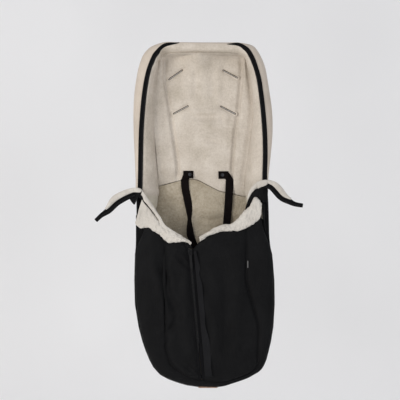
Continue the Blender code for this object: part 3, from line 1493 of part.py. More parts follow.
HINGE_DEPTH = COVER_MID_DEPTH + HINGE_FORWARD / 2
LEFT_HINGE_SHARE = -0.581
RIGHT_HINGE_SHARE = 0.762
HINGE_HEIGHT_SHARE = 0.25
for side, share in (("left", LEFT_HINGE_SHARE), ("right", RIGHT_HINGE_SHARE)):
    members = ["cover_" + layer + "_" + side for layer in COVER_LAYERS]
    members += ["cuff_" + side, "centre_zip_tape_" + side, "centre_zip_coil_" + side]
    pivot("cover_hinge_" + side, point(share * HALF_WIDTH, HINGE_DEPTH, HINGE_HEIGHT_SHARE * LENGTH), members)
    pivot("wing_root_" + side, point(
        (LEFT_WING_SHARES if side == "left" else RIGHT_WING_SHARES)[0][0] * HALF_WIDTH,
        WING_PLANE,
        (LEFT_WING_SHARES if side == "left" else RIGHT_WING_SHARES)[0][1] * LENGTH,
    ), ["wing_shell_" + side, "wing_fleece_" + side, "wing_zip_" + side])
    pivot("side_slide_" + side, side_spots[side].place, ["side_slider_" + side])
    pivot("side_puller_bar_" + side, side_bars[side].place, ["side_puller_" + side])
    x, z = (LEFT_STRAP_SHARES if side == "left" else RIGHT_STRAP_SHARES)[0][:2]
    pivot("strap_root_" + side, point(x * HALF_WIDTH, STRAP_DEPTHS[side][0], z * LENGTH), ["strap_" + side])
pivot("centre_slide", centre_spot.place, ["centre_slider"])
pivot("centre_puller_bar", centre_bar.place, ["centre_puller"])
flap_z = HINGE_HEIGHT_SHARE * LENGTH
flap_x = centre_x(flap_z) + FLAP_ROOT_INSET
pivot("flap_root", point(flap_x, cover_depth(flap_x, flap_z) + FLAP_HINGE_LIFT, flap_z), ["storm_flap"])
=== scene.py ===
"""Looks of a stroller footmuff hanging by its head end: cloth, fleece, zips, folds, light and camera.

Metres. +Z runs up from foot to head, +X is the right side seen from the front, the front faces -Y.
"""

import math

import bmesh
import bpy
import numpy as np
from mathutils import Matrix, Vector, noise


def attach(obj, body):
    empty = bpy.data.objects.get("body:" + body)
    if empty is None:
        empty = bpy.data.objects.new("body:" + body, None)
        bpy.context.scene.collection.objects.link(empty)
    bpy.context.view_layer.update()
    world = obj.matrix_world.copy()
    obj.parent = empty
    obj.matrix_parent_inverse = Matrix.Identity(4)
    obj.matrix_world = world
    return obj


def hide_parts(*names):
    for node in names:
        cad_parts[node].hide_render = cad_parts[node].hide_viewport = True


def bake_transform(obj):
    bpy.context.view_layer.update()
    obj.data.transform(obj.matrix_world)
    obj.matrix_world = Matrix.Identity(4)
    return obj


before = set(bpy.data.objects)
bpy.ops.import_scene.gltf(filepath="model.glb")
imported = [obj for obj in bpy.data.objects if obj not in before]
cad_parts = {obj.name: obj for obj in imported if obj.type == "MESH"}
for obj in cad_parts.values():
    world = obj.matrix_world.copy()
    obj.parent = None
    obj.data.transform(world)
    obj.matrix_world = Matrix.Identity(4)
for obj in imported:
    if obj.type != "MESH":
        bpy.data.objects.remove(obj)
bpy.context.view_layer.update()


# Sizes and outline, the same as in the solid model
LENGTH = 0.940
HALF_WIDTH = 0.193
BACK_DEPTH = 0.0
HEAD_TOP_SHARE = 0.9985
CLOTH = 0.0015
FLEECE = 0.0035
PAD = 0.018
GAP = 0.0004
SEAM_GAP = 0.0006
COVER_PAD = 0.0075
BACK_EDGE_INSET = 0.015
BACK_ROLL_INSET = 0.006
BACK_TURN_INSET = 0.001
RIM_DEPTH = 0.083
SIDE_ZIP_DEPTH = 0.052
SIDE_ZIP_INSET = 0.0035
WALL_LINING_PUFF = 0.005
LINING_DEPTH = 0.0245
CREASE_LAP = 0.004
PAD_PLAY = 0.0012
TAPE_WIDTH = 0.0135
SIDE_TAPE_WIDTH = 0.0105
TAPE_THICK = 0.0012
COIL_WIDTH = 0.003
COIL_HEIGHT = 0.002
TOOTH_REACH = 0.0011
ZIP_MESH_GAP = 0.0006
COVER_EDGE_DEPTH = 0.099
COVER_MID_DEPTH = 0.119
COVER_CORNER_RADIUS = 0.024
COVER_EDGE_FALL = 0.030
COVER_CURVE = 2.4
FOOT_FALL_HEIGHT = 0.105
CENTRE_SHELL_EDGE = 0.0062
CENTRE_LINING_EDGE = 0.008
CENTRE_TAPE_REACH = 0.016
CUFF_THICK = 0.008
CUFF_TURN = 0.016
CUFF_RISE = 0.0065
SLOT_WIDTH = 0.0072
SLOT_LENGTH = 0.045
BINDING = 0.0026
STRAP_THICK = 0.0018
TAB_WIDTH = 0.028
TAB_HEIGHT = 0.021
SLIDER_LENGTH = 0.015
FLAP_ROOT_INSET = 0.0100
FLAP_THICK = 0.0014
WING_THICK = 0.0014
WING_PLANE = 0.1085
FOOT_TAB_WIDTH = 0.052
# Outline as shares (x, z), from the head down the left side, then from the foot up the right one
LEFT_OUTLINE_SHARES = (
    (0.0, 0.9985), (-0.40, 0.9985), (-0.684, 0.9975), (-0.76, 0.986), (-0.855, 0.966),
    (-0.927, 0.925), (-0.970, 0.872), (-0.992, 0.823), (-0.994, 0.743), (-0.977, 0.656),
    (-0.966, 0.599), (-0.960, 0.482), (-0.974, 0.401), (-0.984, 0.338), (-0.984, 0.278),
    (-0.962, 0.215), (-0.872, 0.134), (-0.740, 0.066), (-0.610, 0.0345), (-0.446, 0.0185),
    (-0.260, 0.0065), (-0.109, 0.0008),
)
RIGHT_OUTLINE_SHARES = (
    (0.083, 0.0), (0.275, 0.0045), (0.420, 0.0140), (0.580, 0.0275), (0.750, 0.0440),
    (0.853, 0.0650), (0.903, 0.0960), (0.953, 0.139), (0.993, 0.197), (1.0, 0.254),
    (0.995, 0.312), (0.975, 0.369), (0.934, 0.427), (0.918, 0.470), (0.913, 0.517),
    (0.903, 0.548), (0.900, 0.572), (0.925, 0.643), (0.968, 0.712), (0.964, 0.806),
    (0.917, 0.870), (0.860, 0.934), (0.741, 0.982), (0.622, 0.9950), (0.35, 0.9985),
)
# Heights of the stations on the sides, and places across of those on the head and the foot
HOOD_LEVEL_SHARES = (
    0.564, 0.610, 0.670, 0.735, 0.800, 0.855, 0.895, 0.925, 0.947, 0.964, 0.977, 0.987,
)
BODY_LEVEL_SHARES = (
    0.0055, 0.0125, 0.022, 0.036, 0.058, 0.080, 0.105, 0.135, 0.175, 0.240, 0.310,
    0.385, 0.412, 0.438, 0.465, 0.500, 0.532, 0.564,
)
HEAD_SHARES = (-0.60, -0.345, -0.12, 0.12, 0.32, 0.52)
FOOT_SHARES = (-0.06, 0.08, 0.20)
# Inset of the lining's crease from the outline, by height
CREASE_INSET_SHARES = (
    (0.0, 0.11), (0.40, 0.13), (0.46, 0.22), (0.54, 0.32), (0.60, 0.332), (0.68, 0.318),
    (0.745, 0.300), (0.806, 0.262), (0.87, 0.236), (0.905, 0.242), (0.93, 0.245), (0.95, 0.228),
    (0.964, 0.205), (0.977, 0.190), (0.987, 0.190), (1.0, 0.172),
)
ZIP_TURN_SHARES = (0.385, 0.500)
# Inset of the cover's U seam from the outline, by height and along the foot
SEAM_LEFT_SHARES = (
    (0.0055, 0.140), (0.0125, 0.170), (0.022, 0.205), (0.034, 0.235), (0.048, 0.250), (0.066, 0.270),
    (0.088, 0.290), (0.112, 0.308), (0.140, 0.350), (0.175, 0.385), (0.220, 0.425), (0.275, 0.440),
    (0.330, 0.425), (0.401, 0.432), (0.455, 0.415), (0.564, 0.415),
)
SEAM_FOOT_SHARES = (0.115, 0.100, 0.090)
SEAM_RIGHT_SHARES = (
    (0.0055, 0.075), (0.0125, 0.070), (0.022, 0.062), (0.034, 0.060), (0.048, 0.075), (0.066, 0.105),
    (0.088, 0.138), (0.112, 0.168), (0.140, 0.190), (0.175, 0.213), (0.220, 0.275), (0.275, 0.375),
    (0.300, 0.402), (0.330, 0.398), (0.385, 0.370), (0.425, 0.340), (0.480, 0.325), (0.564, 0.325),
)
CENTRE_ZIP_TOP_SHARE = (-0.197, 0.404)
CENTRE_ZIP_FOOT_SHARE = (-0.036, 0.039)
CENTRE_ZIP_STOP_SHARE = 0.111
# Neckline of each cover half as (x, z), from its outer end to the centre zip
LEFT_NECK_SHARES = (
    (-0.570, 0.4580), (-0.495, 0.4495), (-0.420, 0.4425), (-0.320, 0.4325), (-0.260, 0.4265),
    (-0.235, 0.4060),
)
RIGHT_NECK_SHARES = (
    (0.612, 0.5030), (0.485, 0.4835), (0.368, 0.4650), (0.250, 0.4630), (0.094, 0.4490),
    (-0.060, 0.4290), (-0.135, 0.4010),
)
LEFT_SEAM_DROP_SHARES = (0.415, 0.457)
RIGHT_SEAM_DROP_SHARES = (0.455, 0.502)
# Sherpa cuffs: upper and lower edge as (x, z, x, z)
LEFT_END_CUFF_SHARES = (
    (-0.840, 0.560, -0.955, 0.478), (-0.785, 0.539, -0.885, 0.462), (-0.730, 0.517, -0.780, 0.4625),
    (-0.653, 0.4870, -0.660, 0.449), (-0.592, 0.4730, -0.592, 0.4385),
)
LEFT_CUFF_SHARES = (
    (-0.545, 0.4650, -0.545, 0.4290), (-0.480, 0.4550, -0.490, 0.4205), (-0.400, 0.4470, -0.400, 0.4205),
    (-0.320, 0.4388, -0.320, 0.4225), (-0.250, 0.4318, -0.262, 0.4225),
)
RIGHT_CUFF_SHARES = (
    (-0.068, 0.4366, -0.060, 0.4248), (0.094, 0.4567, 0.100, 0.4429), (0.250, 0.4708, 0.260, 0.4520),
    (0.368, 0.4728, 0.390, 0.4545), (0.485, 0.4930, 0.500, 0.4556), (0.574, 0.5120, 0.574, 0.4610),
)
RIGHT_END_CUFF_SHARES = (
    (0.598, 0.517, 0.598, 0.4630), (0.665, 0.536, 0.670, 0.4720), (0.711, 0.550, 0.715, 0.4780),
    (0.758, 0.5450, 0.755, 0.4840), (0.800, 0.530, 0.790, 0.4945),
)
# Harness slots: label, place across, height, quarter turns
SLOT_SHARES = (
    ("upper_left", -0.402, 0.9085, 0.387), ("upper_right", 0.376, 0.9110, -0.307),
    ("lower_left", -0.328, 0.8060, 0.311), ("lower_right", 0.344, 0.8050, -0.303),
)
# Quilt seams of the lining as (x, z), and the steps of its columns between them
LEFT_QUILT_SHARES = (
    (-0.375, 0.60), (-0.375, 0.65), (-0.435, 0.73), (-0.470, 0.785), (-0.555, 0.893), (-0.555, 0.96),
)
RIGHT_QUILT_SHARES = (
    (0.400, 0.60), (0.403, 0.65), (0.435, 0.72), (0.487, 0.80), (0.534, 0.896), (0.534, 0.96),
)
QUILT_STEP_SHARES = (
    (0.0, 0.25, 0.55, 0.85), (0.0, 0.08, 0.34, 0.585, 0.765, 0.93), (0.0, 0.15, 0.45, 0.75, 1.0),
)
LINING_LEVEL_SHARES = (
    0.600, 0.630, 0.660, 0.695, 0.730, 0.760, 0.7777, 0.800, 0.828, 0.855, 0.895, 0.925, 0.947, 0.964, 0.977,
)
# Line of the seat crease across the back as (x, z)
CREASE_LINE_SHARES = (
    (-0.64, 0.583), (-0.33, 0.600), (-0.11, 0.602), (0.08, 0.583), (0.22, 0.569), (0.60, 0.551),
)
CREASE_END_SHARES = (CREASE_LINE_SHARES[0][1], CREASE_LINE_SHARES[-1][1])
SEAT_LEVEL_SHARES = BODY_LEVEL_SHARES[2:-2]
# Straps: place across, height, quarter turns about their length
LEFT_STRAP_SHARES = (
    (-0.272, 0.6030, 0.0), (-0.268, 0.580, 0.04), (-0.245, 0.555, 0.10), (-0.222, 0.530, 0.20),
    (-0.208, 0.505, 0.50), (-0.204, 0.485, 0.68), (-0.202, 0.465, 0.45), (-0.190, 0.440, 0.22),
)
RIGHT_STRAP_SHARES = (
    (0.368, 0.6020, 0.0), (0.362, 0.580, 0.03), (0.356, 0.555, 0.05), (0.348, 0.530, 0.08),
    (0.338, 0.505, 0.12), (0.326, 0.480, 0.18), (0.316, 0.460, 0.20), (0.306, 0.440, 0.22),
)
TAB_SHARES = {"left": (-0.222, 0.6165), "right": (0.278, 0.6150)}
# Reach of the storm flap's free edge from the centre zip, by height
FLAP_SHARES = (
    (0.040, 0.160), (0.075, 0.150), (0.110, 0.166), (0.150, 0.158), (0.175, 0.128), (0.195, 0.119),
    (0.211, 0.134), (0.250, 0.128), (0.300, 0.134), (0.325, 0.108), (0.338, 0.096), (0.344, 0.122),
    (0.372, 0.112), (0.398, 0.092),
)


def blend(low, high, share):
    return low + (high - low) * share


def ease(low, high, value):
    share = min(1.0, max(0.0, (value - low) / (high - low)))
    return share * share * (3.0 - 2.0 * share)


def look_up(table, value):
    """Straight-line value of a table of (position, value) rows."""
    if value <= table[0][0]:
        return table[0][1]
    for (start, first), (end, last) in zip(table, table[1:]):
        if value <= end:
            return blend(first, last, (value - start) / (end - start))
    return table[-1][1]


def smooth_line(points, steps, closed=False):
    """Catmull-Rom line through 2-D points."""
    count = len(points)
    line = []
    for i in range(count if closed else count - 1):
        near = [i + k - 1 for k in range(4)]
        four = [points[j % count if closed else min(max(j, 0), count - 1)] for j in near]
        for step in range(steps):
            t = step / steps
            weights = (
                -0.5 * t + t * t - 0.5 * t ** 3, 1.0 - 2.5 * t * t + 1.5 * t ** 3,
                0.5 * t + 2.0 * t * t - 1.5 * t ** 3, -0.5 * t * t + 0.5 * t ** 3,
            )
            line.append(tuple(sum(w * p[axis] for w, p in zip(weights, four)) for axis in range(2)))
    return line if closed else line + [tuple(points[-1])]


def smooth_values(values, steps):
    return [v for v, _ in smooth_line([(v, 0.0) for v in values], steps)]


def to_lengths(shares):
    """(x, z) in metres from rows that start with these two shares."""
    return [(row[0] * HALF_WIDTH, row[1] * LENGTH) for row in shares]


def point(x, depth, z):
    return Vector((x, -(BACK_DEPTH + depth), z - HEAD_TOP_SHARE * LENGTH))


SIDES = ("left", "right")
OUTLINE_STEPS = 12
DIRECTION_REACH = 4
STRAIGHT_SIDE = 0.955
OUTLINE = smooth_line(to_lengths(LEFT_OUTLINE_SHARES + RIGHT_OUTLINE_SHARES), OUTLINE_STEPS, closed=True)


class Station:
    """A place on the outline: its point, its inward direction and what the section there needs."""

    def __init__(self, index, share, side):
        count = len(OUTLINE)
        a, b = OUTLINE[index % count], OUTLINE[(index + 1) % count]
        self.x = blend(a[0], b[0], share)
        self.z = blend(a[1], b[1], share)
        before = OUTLINE[(index - DIRECTION_REACH) % count]
        after = OUTLINE[(index + 1 + DIRECTION_REACH) % count]
        run = Vector((after[0] - before[0], after[1] - before[1])).normalized()
        self.inward = Vector((-run.y, run.x))
        if abs(self.inward.x) > STRAIGHT_SIDE:
            self.inward = Vector((math.copysign(1.0, self.inward.x), 0.0))
        self.side = side
        self.height = self.z / LENGTH

    def at(self, inset, depth):
        return point(self.x + self.inward.x * inset, depth, self.z + self.inward.y * inset)


def stations(shares, side):
    """Outermost places on the outline: at heights on a side, or at places across on the head or the foot."""
    axis, size = (0, HALF_WIDTH) if side in ("head", "foot") else (1, LENGTH)
    pick = max if side in ("head", "right") else min
    found = []
    for value in [share * size for share in shares]:
        places = []
        for i, corner in enumerate(OUTLINE):
            a, b = corner[axis], OUTLINE[(i + 1) % len(OUTLINE)][axis]
            if (a - value) * (b - value) <= 0.0 and a != b:
                places.append(Station(i, (value - a) / (b - a), side))
        found.append(pick(places, key=lambda p: p.x if axis else p.z))
    return found


HOOD_LEFT, HOOD_RIGHT = (stations(HOOD_LEVEL_SHARES, side) for side in SIDES)
BODY_LEFT, BODY_RIGHT = (stations(BODY_LEVEL_SHARES, side) for side in SIDES)
HEAD = stations(HEAD_SHARES, "head")
FOOT = stations(FOOT_SHARES, "foot")
HOOD_PATH = HOOD_LEFT + HEAD + HOOD_RIGHT[::-1]
BODY_PATH = BODY_LEFT[::-1] + FOOT + BODY_RIGHT

# Middle of the open zip as it hangs: (x, z) in millimetres from the head end, left over the head to right
OPEN_ZIP_PLACES = (
    (-175.0, -680.0), (-173.0, -402.4), (-172.3, -378.9), (-170.9, -291.1), (-169.3, -232.3),
    (-163.6, -159.4), (-156.3, -106.8), (-147.4, -71.7), (-134.2, -39.5), (-113.7, -15.0), (-87.5, -9.2),
    (-67.5, -9.6), (61.6, -13.5), (78.3, -10.8), (96.9, -10.9), (117.5, -22.0), (132.0, -48.3),
    (145.3, -86.3), (151.2, -115.7), (159.8, -188.8), (164.2, -247.4), (165.8, -320.6), (164.2, -364.3),
    (164.5, -391.5), (167.0, -680.0),
)
OUTSIDE_REACH = 0.02


def zip_middle_inset(station):
    """Inset of the open zip's middle from the outline: where the station's line inward meets the zip's."""
    start, ahead = Vector(station.at(0.0, 0.0)), Vector(station.at(1.0, 0.0))
    foot = Vector((start.x, start.z))
    way = Vector((ahead.x, ahead.z)) - foot
    best = None
    for (ax, az), (bx, bz) in zip(OPEN_ZIP_PLACES, OPEN_ZIP_PLACES[1:]):
        a = Vector((ax, az)) / 1000.0
        run = Vector((bx, bz)) / 1000.0 - a
        cross = way.x * run.y - way.y * run.x
        if abs(cross) < 1e-9:
            continue
        gone = a - foot
        reach = (gone.x * run.y - gone.y * run.x) / cross
        share = (gone.x * way.y - gone.y * way.x) / cross
        if 0.0 <= share <= 1.0 and reach > -OUTSIDE_REACH and (best is None or reach < best):
            best = reach
    return best if best is not None else TAPE_WIDTH


def back_zip_edges(station):
    """(inset, depth) of the sewn edge and of the toothed edge of the back section's zip tape."""
    turn = ease(*ZIP_TURN_SHARES, station.height)
    if station.side == "foot":
        turn = 0.0
    closed_sewn = (SIDE_ZIP_INSET, SIDE_ZIP_DEPTH)
    closed_edge = (SIDE_ZIP_INSET, SIDE_ZIP_DEPTH + SIDE_TAPE_WIDTH)
    if turn == 0.0:
        return closed_sewn, closed_edge
    middle = zip_middle_inset(station)
    sewn = (middle - TAPE_WIDTH / 2, RIM_DEPTH)
    edge = (middle + TAPE_WIDTH / 2, RIM_DEPTH)
    return (
        tuple(blend(a, b, turn) for a, b in zip(closed_sewn, sewn)),
        tuple(blend(a, b, turn) for a, b in zip(closed_edge, edge)),
    )


def wall_outer(station):
    """Outer face of the side wall, from the flat back to the zip's sewn edge."""
    (rim_inset, rim_depth), _ = back_zip_edges(station)
    rim_depth -= TAPE_THICK / 2 + GAP
    return [
        (BACK_EDGE_INSET, BACK_DEPTH),
        (BACK_ROLL_INSET, 0.055 * rim_depth),
        (BACK_TURN_INSET, 0.17 * rim_depth),
        (0.0, 0.37 * rim_depth),
        (0.08 * rim_inset, 0.62 * rim_depth),
        (0.40 * rim_inset, 0.87 * rim_depth),
        (rim_inset - GAP, rim_depth),
    ]


def crease_inset(station):
    height = 1.0 if station.side == "head" else 0.0 if station.side == "foot" else station.height
    return look_up(CREASE_INSET_SHARES, height) * HALF_WIDTH


def wall_inner(station):
    """Face of the side wall's lining, from the crease at the back up to the zip's toothed edge."""
    _, (edge_inset, edge_depth) = back_zip_edges(station)
    turn = 0.0 if station.side == "foot" else ease(*ZIP_TURN_SHARES, station.height)
    rim = (edge_inset + blend(FLEECE * 2.4, FLEECE * 1.1, turn), edge_depth + blend(0.0, GAP * 2, turn))
    foot = (crease_inset(station) + GAP, LINING_DEPTH + FLEECE * 0.75)
    line = []
    for k in range(7):
        share = k / 6
        puff = WALL_LINING_PUFF * math.sin(math.pi * share)
        line.append(
            (blend(foot[0], rim[0], share) + puff * 0.9, blend(foot[1], rim[1], share) + puff * 0.5)
        )
    return line


def zip_frame(station):
    """Sewn edge, toothed edge, direction across the tape and outward direction, as (inset, depth)."""
    sewn, edge = back_zip_edges(station)
    run = Vector((edge[0] - sewn[0], edge[1] - sewn[1])).normalized()
    return Vector(sewn), Vector(edge), run, Vector((-run.y, run.x))


def joint_station(side):
    """The station at the joint between hood and body walls, moved down so that the two leave a gap."""
    station = stations(BODY_LEVEL_SHARES[-1:], side)[0]
    station.z -= SEAM_GAP
    return station


BODY_WALL_PATH = [joint_station("left")] + BODY_PATH[1:-1] + [joint_station("right")]
LEVELS_LEFT = BODY_LEFT + HOOD_LEFT[1:]
LEVELS_RIGHT = BODY_RIGHT + HOOD_RIGHT[1:]


def inset_place(station, inset):
    return Vector((station.x + station.inward.x * inset, station.z + station.inward.y * inset))


def along_places(places, share):
    """Point at a share of the length of a line of places."""
    lengths = [(b - a).length for a, b in zip(places, places[1:])]
    goal = share * sum(lengths)
    for a, b, length in zip(places, places[1:], lengths):
        if goal <= length:
            return a.lerp(b, goal / length)
        goal -= length
    return places[-1].copy()


def edge_at_height(stations, height, inset):
    """Point of an inset edge at a height share, on the straight line between its stations."""
    for low, high in zip(stations, stations[1:]):
        if height <= high.height:
            share = (height - low.height) / (high.height - low.height)
            return inset_place(low, inset(low)).lerp(inset_place(high, inset(high)), share)
    return inset_place(stations[-1], inset(stations[-1]))


def end_row(level, between, inset, columns):
    """Row of places along the foot or the head."""
    places = [LEVELS_LEFT[level]] + between + [LEVELS_RIGHT[level]]
    return [along_places([inset_place(s, inset(s)) for s in places], c) for c in columns]


def level_row(index, inset, columns):
    left = inset_place(LEVELS_LEFT[index], inset(LEVELS_LEFT[index]))
    right = inset_place(LEVELS_RIGHT[index], inset(LEVELS_RIGHT[index]))
    return [left.lerp(right, c) for c in columns]


def pad_inset(station):
    return crease_inset(station) - CREASE_LAP + PAD_PLAY


def pad_ends(left_height, right_height):
    """Ends of a row of the inner pads, at two height shares."""
    left = edge_at_height(LEVELS_LEFT, left_height, pad_inset)
    return left, edge_at_height(LEVELS_RIGHT, right_height, pad_inset)


PUFF_ROUND = 0.6


def quilted_row(left, right, height):
    """Columns of the back lining at one height: (place, puff share)."""
    seams = [
        look_up([(h, x) for x, h in t], height) * HALF_WIDTH for t in (LEFT_QUILT_SHARES, RIGHT_QUILT_SHARES)
    ]
    flat = CREASE_LAP + FLEECE * 1.3
    marks = (left.x + flat, seams[0], seams[1], right.x - flat)
    row = [(left.copy(), 0.0)]
    for a, b, steps in zip(marks, marks[1:], QUILT_STEP_SHARES):
        for step in steps:
            x = blend(a, b, step)
            share = (x - left.x) / (right.x - left.x)
            puff = max(math.sin(math.pi * step), 0.0) ** PUFF_ROUND
            row.append((Vector((x, blend(left.y, right.y, share))), puff))
    return row + [(right.copy(), 0.0)]


PUFF = 0.0055
CREASE_ROW_SHARES = (0.165, 0.36, 0.62)
crease_left, crease_right = pad_ends(*CREASE_END_SHARES)


def crease_height(x):
    return look_up(CREASE_LINE_SHARES, x / HALF_WIDTH) * LENGTH


SEAT_PUFF = 0.006
SEAT_PUFF_ROUND = 0.5
SEAT_EDGE_SHARE = 0.42
SEAT_INNER_SHARE = 0.58
SEAT_TOP_SHARES = (0.386, 0.63, 1.0)
kinks = [
    (x * HALF_WIDTH - crease_left.x) / (crease_right.x - crease_left.x) for x, _ in CREASE_LINE_SHARES[1:-1]
]
SEAT_COLUMN_SHARES = sorted([0.0, 0.065, 0.14] + kinks + [0.79, 0.865, 0.935, 1.0])


def seat_row(left, right, puff_share):
    row = []
    for across in SEAT_COLUMN_SHARES:
        place = left.lerp(right, across)
        edge = min(1.0, (place.x - left.x) / PAD, (right.x - place.x) / PAD)
        puff = SEAT_PUFF * max(math.sin(math.pi * across), 0.0) ** SEAT_PUFF_ROUND
        puff = puff * max(edge - SEAT_EDGE_SHARE, 0.0) / SEAT_INNER_SHARE
        row.append(point(place.x, LINING_DEPTH + puff * puff_share, place.y))
    return row


HEAD_ZIP_SHARE = 0.3


def mirrored_path(side):
    """Stations of one side zip of the back section, from its end at the head down to the foot."""
    if side == "left":
        head = [s for s in HEAD if s.x < -HEAD_ZIP_SHARE * HALF_WIDTH][::-1]
        return head + HOOD_LEFT[::-1] + BODY_LEFT[-2::-1] + FOOT[:1]
    head = [s for s in HEAD if s.x > HEAD_ZIP_SHARE * HALF_WIDTH]
    return head + HOOD_RIGHT[::-1] + BODY_RIGHT[-2::-1] + FOOT[:1:-1]


def tape_line(aside):
    """Line across the back section's zip tape, moved outward by a little."""
    def line(station):
        sewn, edge, run, out = zip_frame(station)
        return [tuple(p + out * aside) for p in (sewn, edge - run * COIL_WIDTH * 1.6, edge)]
    return line


def section_vector(station, pair):
    return Vector((station.inward.x * pair.x, -pair.y, station.inward.y * pair.x))


def back_coil_frames(path):
    frames = []
    for s in path:
        _, edge, run, out = zip_frame(s)
        place = s.at(edge.x, edge.y) - section_vector(s, run) * (TOOTH_REACH + GAP)
        frames.append((place, section_vector(s, run), section_vector(s, out)))
    return frames


COVER_THICK = CLOTH + 2 * GAP + COVER_PAD + FLEECE
OPEN_EDGE_INSETS = {"left": 0.0275, "right": 0.020}
OPEN_EDGE_ROLL = 0.0058
RING_TOP_SHARES = {"left": 0.564, "right": 0.532}
NECK_BOW = 0.012
RING_BOW_SHARES = {"left": (0.43, 0.564), "right": (0.45, 0.532)}


def cover_depth(x, z):
    """Depth of the cover's front face."""
    across = min(1.0, abs(x) / HALF_WIDTH)
    low = max(0.0, 1.0 - z / FOOT_FALL_HEIGHT)
    return blend(COVER_MID_DEPTH, COVER_EDGE_DEPTH, across ** COVER_CURVE) - COVER_EDGE_FALL * low * low


def centre_x(z):
    """Place of the centre zip at a height."""
    (top_x, top_z), (foot_x, foot_z) = CENTRE_ZIP_TOP_SHARE, CENTRE_ZIP_FOOT_SHARE
    share = (z / LENGTH - foot_z) / (top_z - foot_z)
    return blend(foot_x, top_x, share) * HALF_WIDTH


def seam_place(station, extra=0.0):
    """Place of the U seam at a station, moved inward by a little extra."""
    start = Vector((station.x, station.z))
    if station.side == "foot":
        inset = SEAM_FOOT_SHARES[FOOT.index(station)] * HALF_WIDTH
        return start + station.inward * (inset + extra)
    table = SEAM_LEFT_SHARES if station.side == "left" else SEAM_RIGHT_SHARES
    low, high = LEFT_SEAM_DROP_SHARES if station.side == "left" else RIGHT_SEAM_DROP_SHARES
    end = start + station.inward * look_up(table, station.height) * HALF_WIDTH
    if station.height > low:
        top = RING_TOP_SHARES[station.side]
        end.y = blend(low, high, (station.height - low) / (top - low)) * LENGTH
    return end + (end - start).normalized() * extra


def ring_start(station):
    """(inset, depth) of the outer edge of the cover, at the side zip."""
    turn = 0.0 if station.side == "foot" else ease(*ZIP_TURN_SHARES, station.height)
    closed = SIDE_ZIP_DEPTH + 2 * SIDE_TAPE_WIDTH + ZIP_MESH_GAP + 2 * GAP
    if turn == 0.0:
        return SIDE_ZIP_INSET, closed, turn
    return blend(SIDE_ZIP_INSET, OPEN_EDGE_INSETS[station.side], turn), closed, turn


ARC_SHARES = (0.0, 0.34, 0.67, 1.0)
RING_ROOM_SHARE = 0.70
CORNER_SHARE_LIMIT = 0.72
FLAT_SHARES = (0.5, 1.0)


def ring_line(station, depth_in, drop):
    """A line of the cover's outer panel, from the side zip round the corner to the U seam."""
    start = Vector((station.x, station.z))
    seam = seam_place(station)
    width = (seam - start).length
    run = (seam - start).normalized()
    edge_inset, edge_depth, turn = ring_start(station)
    room = width - edge_inset
    step = depth_in * min(1.0, RING_ROOM_SHARE * room / COVER_THICK)
    radius_share = min(CORNER_SHARE_LIMIT, COVER_CORNER_RADIUS / room)
    arc_start = edge_inset + step
    radius = (width - arc_start) * radius_share
    rise = 0.0 if station.side == "foot" else ease(*RING_BOW_SHARES[station.side], station.height)

    def place_at(inset):
        spot = start + run * inset
        spot.y -= NECK_BOW * rise * math.sin(math.pi * inset / width)
        return spot

    corner = place_at(arc_start)
    open_depth = cover_depth(corner.x, corner.y) - depth_in - OPEN_EDGE_ROLL
    edge_depth = blend(edge_depth - drop, open_depth, turn)
    line = []
    for share in ARC_SHARES:
        angle = share * math.pi / 2
        place = place_at(arc_start + radius * (1.0 - math.cos(angle)))
        front = cover_depth(place.x, place.y) - depth_in
        line.append(point(place.x, blend(edge_depth, front, math.sin(angle)), place.y))
    for share in FLAT_SHARES:
        place = place_at(blend(arc_start + radius, width, share))
        line.append(point(place.x, cover_depth(place.x, place.y) - depth_in, place.y))
    return line


RING_PATH = [s for s in BODY_PATH if s.side == "foot" or s.height <= RING_TOP_SHARES[s.side] + 0.0001]
COVER_ZIP_TOP_SHARE = 0.430


def cover_zip_path(side):
    levels = BODY_LEFT if side == "left" else BODY_RIGHT
    path = [s for s in levels if s.height <= COVER_ZIP_TOP_SHARE][::-1]
    return path + (FOOT[:1] if side == "left" else FOOT[:1:-1])


def cover_tape_line(depth_in):
    def line(station):
        _, edge, _, _ = zip_frame(station)
        inset, depth, _ = ring_start(station)
        low = edge.y + ZIP_MESH_GAP
        inset = edge.x - TAPE_THICK / 2 + depth_in
        return [(inset, depth - GAP), (inset, low)]
    return line


def half_rows(side):
    """Seam places of a cover half, from the foot up to the neckline."""
    levels = BODY_LEFT if side == "left" else BODY_RIGHT
    return [seam_place(s, SEAM_GAP) for s in levels if s.height <= RING_TOP_SHARES[side] + 0.0001]


FOOT_SEAM = sorted(tuple(seam_place(s, SEAM_GAP)) for s in [BODY_LEFT[0]] + FOOT + [BODY_RIGHT[0]])


def neck_height(side, x):
    table = LEFT_NECK_SHARES if side == "left" else RIGHT_NECK_SHARES
    return look_up(sorted(table), x / HALF_WIDTH) * LENGTH


def half_grid(side, depth_in, centre_gap):
    """Rows of a cover half: level up to the notch, then drawn toward the neckline."""
    toward = -1.0 if side == "left" else 1.0
    places = [
        p for p in half_rows(side) if (centre_x(p.y) + toward * centre_gap - p.x) * toward < -CUFF_THICK
    ]
    level_top = max(p.y for p in places if p.y < NECK_START_SHARE * LENGTH)
    grid = []
    for place in places:
        z = min(place.y, level_top)
        rise = (place.y - z) / (places[-1].y - level_top)
        row = []
        for share in HALF_COLUMN_SHARES:
            notch = centre_x(blend(z, ZIP_TOP, rise)) + toward * centre_gap
            x = blend(place.x, notch, share)
            height = look_up(FOOT_SEAM, x) if not grid else blend(z, neck_height(side, x), rise)
            if share == 0.0:
                height = place.y
            row.append(point(x, cover_depth(x, height) - depth_in, height))
        grid.append(row)
    return grid


NECK_START_SHARE = 0.39
ZIP_TOP = CENTRE_ZIP_TOP_SHARE[1] * LENGTH
HALF_COLUMN_SHARES = (0.0, 0.13, 0.284, 0.52, 0.76, 1.0)


